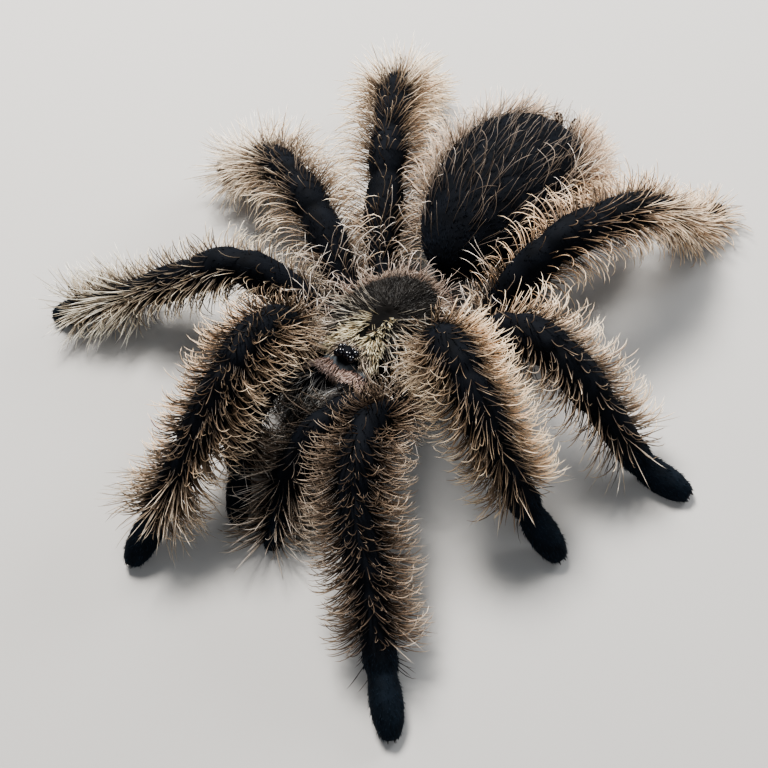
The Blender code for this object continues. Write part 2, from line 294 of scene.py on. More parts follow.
def limb_joints(limb: Limb) -> list[Array]:
    """The limb's joints from the coxa to the toe, which reaches down to the floor.

    Args:
        limb: The limb in its pose.

    Returns:
        The joints, in the body's own frame.
    """
    side = limb.side.value
    coxa = np.array((side * limb.build.coxa[0], limb.build.coxa[1], LEG_ROOT_HEIGHT - COXA_DROP))
    joint = np.array((side * limb.build.root[0], limb.build.root[1], LEG_ROOT_HEIGHT))
    joints = [coxa, joint]
    femur, tibia, foot = limb.headings
    turns = (femur, (femur + tibia) / 2, tibia, foot)
    for length, turn, climb in zip(limb.build.lengths, turns, limb.climbs):
        joint = joint + length * heading(side, turn, climb)
        joints.append(joint)
    reach = limb.build.lengths[-1]
    slope = 0.0
    for _ in range(TOE_ROUNDS):
        toe_height = TOE_RADIUS * math.cos(slope) - TOE_SINK
        slope = math.asin(max(-1.0, (toe_height - joint[2]) / reach))
    joints.append(joint + reach * heading(side, foot, math.degrees(slope)))
    return joints


# ----- Forms under the skin -----


def loft(sections: list[Matrix], sides: int) -> bmesh.types.BMesh:
    """A closed bar: a disc extruded from each section to the next.

    Args:
        sections: The matrix that carries a flat unit circle to each section.
        sides: How many sides the bar has.

    Returns:
        The bar.
    """
    bar = bmesh.new()
    bmesh.ops.create_circle(bar, cap_ends=True, segments=sides, radius=1.0, matrix=sections[0])
    end = list(bar.faces)
    for index, (here, there) in enumerate(zip(sections, sections[1:])):
        made = bmesh.ops.extrude_face_region(bar, geom=end)["geom"]
        if index > 0:
            bmesh.ops.delete(bar, geom=end, context="FACES_ONLY")
        moved = [item for item in made if isinstance(item, bmesh.types.BMVert)]
        bmesh.ops.transform(bar, matrix=there @ here.inverted(), verts=moved)
        end = [item for item in made if isinstance(item, bmesh.types.BMFace)]
    bmesh.ops.recalc_face_normals(bar, faces=bar.faces)
    return bar


def ball(rings: int, columns: int, centre: Array, radii: Place) -> bmesh.types.BMesh:
    """An ellipsoid with its poles on the Y axis.

    Args:
        rings: Divisions from pole to pole.
        columns: Divisions round it.
        centre: Its middle.
        radii: Its half sizes.

    Returns:
        The ellipsoid.
    """
    solid = bmesh.new()
    bmesh.ops.create_uvsphere(solid, u_segments=columns, v_segments=rings, radius=1.0)
    bmesh.ops.rotate(solid, verts=solid.verts, matrix=Matrix.Rotation(math.radians(90), 3, "X"))
    bmesh.ops.scale(solid, verts=solid.verts, vec=radii)
    bmesh.ops.translate(solid, verts=solid.verts, vec=Vector(centre))
    return solid


def set_on_head(solid: bmesh.types.BMesh, shift: Array) -> bmesh.types.BMesh:
    """Brings a solid from the head's own frame into the solids'.

    Args:
        solid: The solid.
        shift: From the body's own frame to the solids'.

    Returns:
        The same solid.
    """
    bmesh.ops.rotate(solid, verts=solid.verts, matrix=HEAD_MATRIX)
    bmesh.ops.translate(solid, verts=solid.verts, vec=Vector(shift))
    return solid


@dataclass
class Bar:
    """A round part along a line: a limb, a jaw or a spinneret."""

    line: CentreLine
    across: Array

    def frame(self, distances: Array) -> tuple[Array, Array, Array, Array]:
        """Where the bar is and how it is turned, this far along it.

        Args:
            distances: Distances along the line.

        Returns:
            The middles, the directions along, the directions across and the directions of its back.
        """
        along = self.line.along(distances)
        across = unit(self.across - along * (along @ self.across)[:, None])
        return self.line.at(distances), along, across, np.cross(across, along)

    def skin(self, distances: Array, turns: Array) -> tuple[Array, Array, Array]:
        """Places on the bar's skin.

        Args:
            distances: Distances along the line.
            turns: Turns round it from its back.

        Returns:
            The points, the directions outwards and the directions along.
        """
        middles, along, across, back = self.frame(distances)
        normals = back * np.cos(turns)[:, None] + across * np.sin(turns)[:, None]
        return middles + normals * self.radius(distances)[:, None], normals, along

    def radius(self, distances: Array) -> Array:
        """The skin's radius this far along. Each kind of bar has its own."""
        raise NotImplementedError

    def solid(self, spacing: float, sides: int) -> bmesh.types.BMesh:
        """The bar as a closed mesh.

        Args:
            spacing: The distance between sections.
            sides: How many sides it has.

        Returns:
            The mesh.
        """
        distances = np.linspace(0.0, self.line.length, max(4, round(self.line.length / spacing)) + 1)
        sections = []
        for middle, forward, side, top, radius in zip(*self.frame(distances), self.radius(distances)):
            turn = Matrix((Vector(side), Vector(top), Vector(forward))).transposed().to_4x4()
            size = Matrix.Diagonal((radius, radius, radius, 1.0))
            sections.append(Matrix.Translation(Vector(middle)) @ turn @ size)
        return loft(sections, sides)


# Skin radius at shares of each segment's length
LIMB_GIRTH: dict[Segment, Stations] = {
    Segment.FEMUR: (
        (0.0, 1.7), (0.12, 2.4), (0.26, 2.7), (0.32, 2.45), (0.5, 3.0), (0.75, 3.45), (0.92, 3.2), (1.0, 2.8),
    ),
    Segment.PATELLA: ((0.0, 2.8), (0.18, 3.15), (0.5, 3.4), (0.85, 3.25), (1.0, 2.85)),
    Segment.TIBIA: ((0.0, 2.85), (0.15, 3.1), (0.5, 3.2), (0.85, 3.0), (1.0, 2.5)),
    Segment.METATARSUS: ((0.0, 2.45), (0.12, 2.6), (0.6, 2.45), (0.9, 2.45), (1.0, 2.2)),
    Segment.TARSUS: ((0.0, 2.05), (0.14, 2.2), (0.42, 2.4), (0.7, 2.2), (0.9, 1.65), (1.0, 1.0)),
}
PALP_GIRTH = 0.84
JOINT_FOLD = 0.08  # how much narrower a joint is than the segments beside it
JOINT_FOLD_WIDTH = 0.7
LIMB_ROOM = 0.55  # skins of neighbouring limbs keep this far apart beyond the coxae
COXA_ROOM = 3.0  # how far the coxae may pass into each other
ROOM_STOPS = 240  # along a limb, for measuring the room beside it


class LimbForm(Bar):
    """A limb under its coat."""

    def __init__(self, limb: Limb, shift: Array) -> None:
        """Lays the limb's line out in the solids' frame.

        Args:
            limb: The limb and its pose.
            shift: From the body's own frame to the solids'.
        """
        line = CentreLine([joint + shift for joint in limb_joints(limb)])
        super().__init__(line, unit(np.cross(line.points[-1] - line.points[0], UP)))
        self.limb = limb
        self.bounds = [0.0, *line.corners[1:], line.length]

    def make_room(self, others: list["LimbForm"]) -> None:
        """Keeps the skin clear of the limbs beside it, outside the coxae.

        Args:
            others: All the limbs.
        """
        dense = np.linspace(0, self.line.length, ROOM_STOPS)
        here = self.line.at(dense)
        room = np.full(len(dense), np.inf)
        for other in others:
            if other is not self:
                room = np.minimum(room, (other.line.gaps(here, ROOM_STOPS)[2] - LIMB_ROOM) / 2)
        coxa_end = self.line.corners[0]
        self.room = room + np.clip((coxa_end - dense) / coxa_end, 0, 1) * COXA_ROOM
        self.room_stops = dense

    def segment_at(self, distances: Array) -> tuple[Array, Array]:
        """Which segment each distance is in.

        Args:
            distances: Distances along the limb.

        Returns:
            The segments' numbers, and the shares of those segments.
        """
        index = np.clip(np.searchsorted(self.bounds, distances, side="right") - 1, 0, len(self.bounds) - 2)
        starts = np.array(self.bounds)[index]
        ends = np.array(self.bounds)[index + 1]
        return index, (distances - starts) / (ends - starts)

    def radius(self, distances: Array) -> Array:
        """The skin's radius, with a fold at each joint.

        Args:
            distances: Distances along the limb.

        Returns:
            The radii.
        """
        index, share = self.segment_at(distances)
        radius = np.zeros(len(distances))
        for number, kind in enumerate(self.limb.segments):
            stations = np.array(LIMB_GIRTH[kind])
            here = index == number
            radius[here] = np.interp(share[here], stations[:, 0], stations[:, 1])
        if self.limb.is_palp:
            radius *= PALP_GIRTH
        for joint in self.bounds[1:-1]:
            radius *= 1 - JOINT_FOLD * bell(distances - joint, JOINT_FOLD_WIDTH)
        return np.minimum(radius, np.interp(distances, self.room_stops, self.room))


@dataclass
class TaperedBar(Bar):
    """A bar whose radius follows stations along it."""

    stations: Stations = ((0.0, 1.0), (1.0, 1.0))

    def radius(self, distances: Array) -> Array:
        """The radius between the stations."""
        table = np.array(self.stations)
        return np.interp(distances / self.line.length, table[:, 0], table[:, 1])


def head_bar(line: tuple[Place, ...], girth: Stations, side: Side, shift: Array) -> TaperedBar:
    """A tapered bar through joints that are given in the head's own frame and for the left side."""
    joints = [from_head((side.value * x, y, z)) + shift for x, y, z in line]
    return TaperedBar(CentreLine(joints), from_head(ACROSS), girth)


@dataclass
class CarapaceForm:
    """The carapace under its mat: a low dome with a raised head, a pit and radiating furrows."""

    shift: Array
    half_width: float = 9.0
    half_length: float = 10.9
    middle: float = -1.7
    centre_height: float = 9.8
    half_height: float = 2.9
    head_narrowing: float = 0.24
    head_rise: float = 1.2
    rim_height: float = 8.9
    pit: tuple[float, float] = (0.0, -0.7)
    pit_size: tuple[float, float] = (1.7, 0.6)
    pit_depth: float = 0.9
    furrow_turns: tuple[float, ...] = (28.0, 68.0, 108.0, 148.0)  # from straight back, on each side
    furrow_depth: float = 0.45
    furrow_width: float = 0.55
    furrow_start: float = 2.0  # from the pit, where the furrows have their full depth
    furrow_end: float = 9.0
    furrow_fade: float = 3.0
    groove_depth: float = 0.9  # of the groove that runs ahead from the pit
    groove_width: float = 0.7

    def lower(self, x: float, y: float) -> float:
        """How deep the pit and the furrows are at a place on the dome.

        Args:
            x: Across.
            y: Backwards.

        Returns:
            The depth.
        """
        across, back = x - self.pit[0], y - self.pit[1]
        width, length = self.pit_size
        depth = self.pit_depth * math.exp(-((across / width) ** 2) - (back / length) ** 2)
        away = math.hypot(across, back)
        inner = min(1.0, away / self.furrow_start)
        fade = inner * max(0.0, min(1.0, (self.furrow_end - away) / self.furrow_fade))
        turn = math.degrees(math.atan2(abs(across), back))
        for furrow in self.furrow_turns:
            beside = away * math.radians(abs(turn - furrow))
            depth += self.furrow_depth * fade * math.exp(-((beside / self.furrow_width) ** 2))
        if back < 0:
            depth += self.groove_depth * fade * math.exp(-((across / self.groove_width) ** 2))
        return depth

    def solid(self) -> bmesh.types.BMesh:
        """The dome.

        Returns:
            It as a closed mesh.
        """
        centre = np.array((0.0, self.middle, self.centre_height))
        dome = ball(40, 72, centre, (self.half_width, self.half_length, self.half_height))
        for vert in dome.verts:
            ahead = max(0.0, (self.middle - vert.co.y) / self.half_length)
            top = max(0.0, vert.co.z - self.centre_height) / self.half_height
            vert.co.x *= 1 - self.head_narrowing * ahead**2
            vert.co.z += self.head_rise * ahead * top
            if top > 0:
                vert.co.z -= self.lower(vert.co.x, vert.co.y) * min(1.0, top * 3)
            vert.co.z = max(vert.co.z, self.rim_height)
        return set_on_head(dome, self.shift)


@dataclass
class AbdomenForm:
    """The abdomen under its coat: an egg whose broad end is behind."""

    shift: Array
    length: float = 38.0
    width: float = 27.6
    depth: float = 21.4
    egg: float = 0.13  # how much broader it is behind
    egg_middle: float = 0.3
    coat: float = 0.9
    front: Place = (0.0, 11.6, 9.6)
    lift: float = 7.0
    turn: float = -3.0
    tuck: float = 1.9  # how far the rear end is drawn in under its long hair
    lung_folds: tuple[float, ...] = (0.22, 0.36)  # underneath, at shares of the length
    fold_depth: float = 0.6
    fold_width: float = 0.018
    fold_reach: float = 5.0

    @property
    def radii(self) -> Place:
        """The egg's half sizes under its coat: across, along and up."""
        return self.width / 2 - self.coat, self.length / 2 - self.coat, self.depth / 2 - self.coat

    def place(self) -> Matrix:
        """Where the egg stands, modelled along +Y from its front end.

        Returns:
            The matrix that sets it on the waist.
        """
        turn = Matrix.Rotation(math.radians(-self.turn), 4, "Z")
        lift = Matrix.Rotation(math.radians(self.lift), 4, "X")
        return Matrix.Translation(Vector(self.shift) + Vector(self.front)) @ turn @ lift

    def placed(self, points: Array) -> Array:
        """Points of the egg's own frame in the solids'."""
        place = np.array(self.place())
        return points @ place[:3, :3].T + place[:3, 3]

    def pointed(self, directions: Array) -> Array:
        """Directions of the egg's own frame in the solids'."""
        return directions @ np.array(self.place())[:3, :3].T

    def surface(self, share: Array, turns: Array) -> Array:
        """Points on the egg's skin in its own frame.

        Args:
            share: From 0 at the front end to 1 at the rear end.
            turns: Round the long axis, 0 on the back and positive to the left.

        Returns:
            The points.
        """
        across, along, up = self.radii
        back = share * 2 - 1
        swell = (1 + self.egg * (back - self.egg_middle)) * np.sqrt(np.maximum(0.0, 1 - back**2))
        y = self.length / 2 + along * back - self.tuck * np.maximum(0.0, back) ** 2
        return np.stack((across * swell * np.sin(turns), y, up * swell * np.cos(turns)), axis=-1)

    def solid(self) -> bmesh.types.BMesh:
        """The egg, with the folds over the book lungs underneath.

        Returns:
            It as a closed mesh.
        """
        egg = ball(36, 48, np.array((0.0, self.length / 2, 0.0)), self.radii)
        for vert in egg.verts:
            back = (vert.co.y - self.length / 2) / self.radii[1]
            swell = 1 + self.egg * (back - self.egg_middle)
            vert.co.x *= swell
            vert.co.z *= swell
            vert.co.y -= self.tuck * max(0.0, back) ** 2
            if vert.co.z < 0:
                for fold in self.lung_folds:
                    along = vert.co.y / self.length - fold
                    beside = min(1.0, abs(vert.co.x) / self.fold_reach)
                    vert.co.z += self.fold_depth * math.exp(-((along / self.fold_width) ** 2)) * beside
        bmesh.ops.transform(egg, matrix=self.place(), verts=egg.verts)
        return egg


# ----- Finishes -----


class Recipe:
    """A material while its nodes are being put together."""

    def __init__(self, name: str) -> None:
        """Starts the material with its shader.

        Args:
            name: The material's name.
        """
        self.material = bpy.data.materials.new(name)
        self.material.use_nodes = True
        self.tree = self.material.node_tree
        self.shader = self.tree.nodes["Principled BSDF"]

    def noise(self, scale: float, detail: float = 2.0) -> bpy.types.NodeSocket:
        """Noise on the object's own coordinates.

        Args:
            scale: How many of its lumps there are in a metre.
            detail: How many finer layers it has.

        Returns:
            The noise, from 0 to 1.
        """
        place = self.tree.nodes.new("ShaderNodeTexCoord")
        noise = self.tree.nodes.new("ShaderNodeTexNoise")
        noise.inputs["Scale"].default_value = scale
        noise.inputs["Detail"].default_value = detail
        self.tree.links.new(place.outputs["Object"], noise.inputs["Vector"])
        return noise.outputs["Fac"]

    def tones(self, patches: bpy.types.NodeSocket, reach: Range, shades: Range) -> None:
        """Colours the shader with the mesh's own tones, paler and darker in patches.

        Args:
            patches: The noise that makes the patches.
            reach: The values between which the noise counts.
            shades: What the tones are multiplied by at those values.
        """
        tone = self.tree.nodes.new("ShaderNodeAttribute")
        tone.attribute_name = TONE
        spread = self.tree.nodes.new("ShaderNodeMapRange")
        spread.inputs["From Min"].default_value, spread.inputs["From Max"].default_value = reach
        spread.inputs["To Min"].default_value, spread.inputs["To Max"].default_value = shades
        shaded = self.tree.nodes.new("ShaderNodeVectorMath")
        shaded.operation = "SCALE"
        self.tree.links.new(patches, spread.inputs["Value"])
        self.tree.links.new(tone.outputs["Color"], shaded.inputs[0])
        self.tree.links.new(spread.outputs["Result"], shaded.inputs["Scale"])
        self.tree.links.new(shaded.outputs["Vector"], self.shader.inputs["Base Color"])


@dataclass(frozen=True)
class VelvetFinish:
    """The skin: its own tone from the attribute, broken up by a fine nap."""

    name: str = "tarantula skin"
    roughness: float = 0.75
    specular: float = 0.07
    sheen: float = 0.02
    sheen_roughness: float = 0.35
    sheen_tint: Colour = (0.40, 0.55, 0.75)
    nap_scale: float = 6000.0
    nap_detail: float = 3.0
    nap_depth: float = 0.00004
    nap_strength: float = 0.8
    patch_scale: float = 320.0
    patch_detail: float = 4.0
    patch_reach: Range = (0.3, 0.7)
    patch_shades: Range = (0.55, 1.5)

    def material(self) -> bpy.types.Material:
        """The skin's material.

        Returns:
            It, with its nap as a fine bump.
        """
        recipe = Recipe(self.name)
        shader = recipe.shader
        recipe.tones(recipe.noise(self.patch_scale, self.patch_detail), self.patch_reach, self.patch_shades)
        bump = recipe.tree.nodes.new("ShaderNodeBump")
        bump.inputs["Distance"].default_value = self.nap_depth
        bump.inputs["Strength"].default_value = self.nap_strength
        recipe.tree.links.new(recipe.noise(self.nap_scale, self.nap_detail), bump.inputs["Height"])
        recipe.tree.links.new(bump.outputs["Normal"], shader.inputs["Normal"])
        shader.inputs["Roughness"].default_value = self.roughness
        shader.inputs["Specular IOR Level"].default_value = self.specular
        shader.inputs["Sheen Weight"].default_value = self.sheen
        shader.inputs["Sheen Roughness"].default_value = self.sheen_roughness
        shader.inputs["Sheen Tint"].default_value = (*self.sheen_tint, 1.0)
        return recipe.material


@dataclass(frozen=True)
class HairFinish:
    """Hair, whose tone runs from root to tip in the attribute."""

    name: str = "tarantula hair"
    roughness: float = 0.45
    specular: float = 0.32
    streak_scale: float = 900.0
    streak_reach: Range = (0.0, 1.0)
    streak_shades: Range = (0.75, 1.25)

    def material(self) -> bpy.types.Material:
        """The hair's material.

        Returns:
            It, a little paler and darker in streaks.
        """
        recipe = Recipe(self.name)
        shader = recipe.shader
        recipe.tones(recipe.noise(self.streak_scale), self.streak_reach, self.streak_shades)
        shader.inputs["Roughness"].default_value = self.roughness
        shader.inputs["Specular IOR Level"].default_value = self.specular
        return recipe.material


@dataclass(frozen=True)
class HornFinish:
    """Smooth horn or glass-like cuticle, clouded with a second colour, with a clear gloss."""

    name: str
    colour: Colour
    second: Colour
    roughness: float
    gloss: float
    cloud_scale: float
    cloud_reach: Range = (0.35, 0.7)
    gloss_roughness: float = 0.04

    def material(self) -> bpy.types.Material:
        """The horn's material.

        Returns:
            It, with its gloss as a clear coat.
        """
        recipe = Recipe(self.name)
        shader = recipe.shader
        ramp = recipe.tree.nodes.new("ShaderNodeValToRGB")
        colours = (self.colour, self.second)
        for stop, place, colour in zip(ramp.color_ramp.elements, self.cloud_reach, colours):
            stop.position = place
            stop.color = (*colour, 1.0)
        recipe.tree.links.new(recipe.noise(self.cloud_scale), ramp.inputs["Fac"])
        recipe.tree.links.new(ramp.outputs["Color"], shader.inputs["Base Color"])
        shader.inputs["Roughness"].default_value = self.roughness
        shader.inputs["Coat Weight"].default_value = self.gloss
        shader.inputs["Coat Roughness"].default_value = self.gloss_roughness
        return recipe.material


EYE_GLASS = HornFinish(
    "eye", (0.002, 0.002, 0.004), (0.006, 0.006, 0.009),
    roughness=0.14, gloss=0.12, cloud_scale=700,
)
FANG_HORN = HornFinish(
    "fang", (0.010, 0.006, 0.006), (0.05, 0.018, 0.012),
    roughness=0.18, gloss=0.6, cloud_scale=500,
)
CLAW_HORN = HornFinish(
    "claw", (0.008, 0.006, 0.006), (0.03, 0.016, 0.012),
    roughness=0.2, gloss=0.5, cloud_scale=900,
)


# ----- Pieces -----


def joined(solids: Iterable[bmesh.types.BMesh], name: str) -> bpy.types.Mesh:
    """Several closed shapes in one mesh.

    Args:
        solids: The shapes, which are used up.
        name: The mesh's name.

    Returns:
        The mesh, in the shapes' own unit.
    """
    whole = bmesh.new()
    part = bpy.data.meshes.new(f"{name} part")
    for solid in solids:
        solid.to_mesh(part)
        whole.from_mesh(part)
        solid.free()
    bpy.data.meshes.remove(part)
    mesh = bpy.data.meshes.new(name)
    whole.to_mesh(mesh)
    whole.free()
    return mesh


def in_metres(mesh: bpy.types.Mesh) -> bpy.types.Mesh:
    """The same mesh, brought from millimetres to metres."""
    mesh.transform(Matrix.Scale(MM, 4))
    return mesh


def set_tones(mesh: bpy.types.Mesh, tones: Array) -> None:
    """Stores the tones that the finishes read.

    Args:
        mesh: The mesh.
        tones: A colour for each of its points.
    """
    full = np.ones((len(tones), 4), dtype=np.float32)
    full[:, :3] = tones
    layer = mesh.color_attributes.new(name=TONE, type="FLOAT_COLOR", domain="POINT")
    layer.data.foreach_set("color", full.ravel())


def set_out(name: str, data: bpy.types.ID) -> bpy.types.Object:
    """A new object, linked to the scene.

    Args:
        name: Its name.
        data: Its mesh, light or camera.

    Returns:
        The object.
    """
    made = bpy.data.objects.new(name, data)
    bpy.context.scene.collection.objects.link(made)
    return made


def set_piece(name: str, mesh: bpy.types.Mesh, material: bpy.types.Material) -> bpy.types.Object:
    """Puts a finished mesh in the scene and on the frame.

    Args:
        name: The piece's name.
        mesh: Its mesh, in metres.
        material: Its finish.

    Returns:
        The piece.
    """
    mesh.materials.clear()
    mesh.materials.append(material)
    mesh.shade_smooth()
    piece = set_out(name, mesh)
    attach(piece, ROOT)
    LOG.info("%s: %d faces", name, len(mesh.polygons))
    return piece


# ----- Hair -----

PLASTIC = 1.324717957244746  # the plastic number, whose powers scatter places evenly
EVEN_STEPS = np.array((1 / PLASTIC, 1 / PLASTIC**2))
MAP_NAME = "OFBake"
HAIR_SIDES = 3
HAIR_PATCH = 0.003  # the size of a hair's patch on the unwrap
ROOT_DEPTH = 0.25  # how deep a hair is rooted in the skin
ROOT_REACH = 0.7  # how far a root may be moved to meet the skin
FACING = 0.2  # how far a seat has to face the same way as the skin
FLOOR_GAP = 0.15  # no hair comes closer to the floor
RISE_STRAY = 0.5  # of a hair's own stray, upwards
SIDE_STRAY = 0.4  # and sideways
BEND_STRAY = 12.0  # of a hair's bend from its lock's
CLUMP_TURN = 1.1  # how late the hairs of a lock come together
THICKNESSES = (0.8, 1.15)  # from hair to hair
TAPER = 0.45  # how much of its thickness a hair loses before its point
TAPER_TURN = 1.8  # how late it loses it
MIDDLE_SHARE = 0.45  # where a hair has its middle tone
TONE_SWING = np.array((0.9, 1.0, 1.1))  # blue varies a little more than red
SHADES = (0.1, 2.8)  # the least and the most that tint and chance make of a tone
PALEST = 0.9  # no hair reflects more


@dataclass(frozen=True)
class HairKind:
    """How one kind of hair grows."""

    tones: Tones
    length: Range
    thickness: float  # radius at the root
    rise: float  # off the skin, degrees
    curl: Range  # total bend along the hair, degrees
    rings: int
    spread: float  # of the roots about the lock's middle
    per_lock: int = 1
    clump: float = 0.1  # how far the hairs of a lock come together at the tips
    stray: float = 12.0  # how far each hair strays from the lie, degrees
    turn: float = 1.6  # how much of the bend is near the tip
    wave: float = 0.0  # side to side, degrees
    warmth: float = 0.3  # variation of tone from hair to hair
    loose: float = 0.18  # how far the hairs bend out of one plane


@dataclass
class Seats:
    """Where locks stand: places on the skin with the lie of the coat there."""

    points: Array
    normals: Array
    lie: Array
    places: Array  # on the unwrap, from 0 to 1
    scale: Array | None = None  # times the hair's length
    tint: Array | None = None  # times the hair's tones

    def __post_init__(self) -> None:
        """Leaves the hair's own length and tones where nothing else is given."""
        self.scale = np.ones(len(self.points)) if self.scale is None else self.scale
        self.tint = np.ones((len(self.points), 1)) if self.tint is None else self.tint

    def chosen(self, mask: Array) -> "Seats":
        """The seats that a mask picks."""
        return Seats(*(getattr(self, name)[mask] for name in self.__dataclass_fields__))

    def repeated(self, times: int) -> "Seats":
        """Each seat so many times, side by side."""
        return Seats(*(np.repeat(getattr(self, name), times, axis=0) for name in self.__dataclass_fields__))

    def beside(self) -> Array:
        """The directions on the skin at right angles to the lie."""
        return unit(np.cross(self.normals, self.lie))


class Skin:
    """The finished skin, as something for hair to root in."""

    def __init__(self, mesh: bpy.types.Mesh) -> None:
        """Reads the skin's mesh.

        Args:
            mesh: The skin, in metres.
        """
        solid = bmesh.new()
        solid.from_mesh(mesh)
        bmesh.ops.scale(solid, verts=solid.verts, vec=(1 / MM, 1 / MM, 1 / MM))
        self.tree = BVHTree.FromBMesh(solid)
        solid.free()

    def settle(self, seats: Seats, reach: float) -> Array:
        """Brings seats onto the skin.

        Args:
            seats: Seats near the skin, which are moved.
            reach: The furthest that a seat may be moved.

        Returns:
            Which of them were near enough.
        """
        near = np.zeros(len(seats.points), dtype=bool)
        for index, point in enumerate(seats.points):
            found, normal, _, distance = self.tree.find_nearest(Vector(point))
            if distance <= reach and normal.dot(Vector(seats.normals[index])) > FACING:
                near[index] = True
                seats.points[index] = found
                seats.normals[index] = normal
        seats.lie = square(seats.lie, seats.normals)
        return near


def strand(rings: int) -> tuple[Array, Array, Array, Array]:
    """The faces of one hair, and their corners' places on its patch of the unwrap.

    Args:
        rings: How many rings of points the hair has below its tip.

    Returns:
        The sides' faces by point number, the sides' places, the ends' faces and the ends' places.
    """
    sides, side_places, ends, end_places = [], [], [], []
    edges = [(corner / HAIR_SIDES, (corner + 1) / HAIR_SIDES) for corner in range(HAIR_SIDES)]
    for ring in range(rings):
        low, high = ring / rings, (ring + 1) / rings
        for corner, (left, right) in enumerate(edges):
            here, after = ring * HAIR_SIDES + corner, ring * HAIR_SIDES + (corner + 1) % HAIR_SIDES
            if ring < rings - 1:
                sides.append((here, after, after + HAIR_SIDES, here + HAIR_SIDES))
                side_places.append(((left, low), (right, low), (right, high), (left, high)))
            else:
                ends.append((here, after, rings * HAIR_SIDES))
                end_places.append(((left, low), (right, low), ((left + right) / 2, high)))
    ends.append((2, 1, 0))
    end_places.append(((1.0, 0.0), (0.5, 0.0), (0.0, 0.02)))
    return np.array(sides), np.array(side_places), np.array(ends), np.array(end_places)


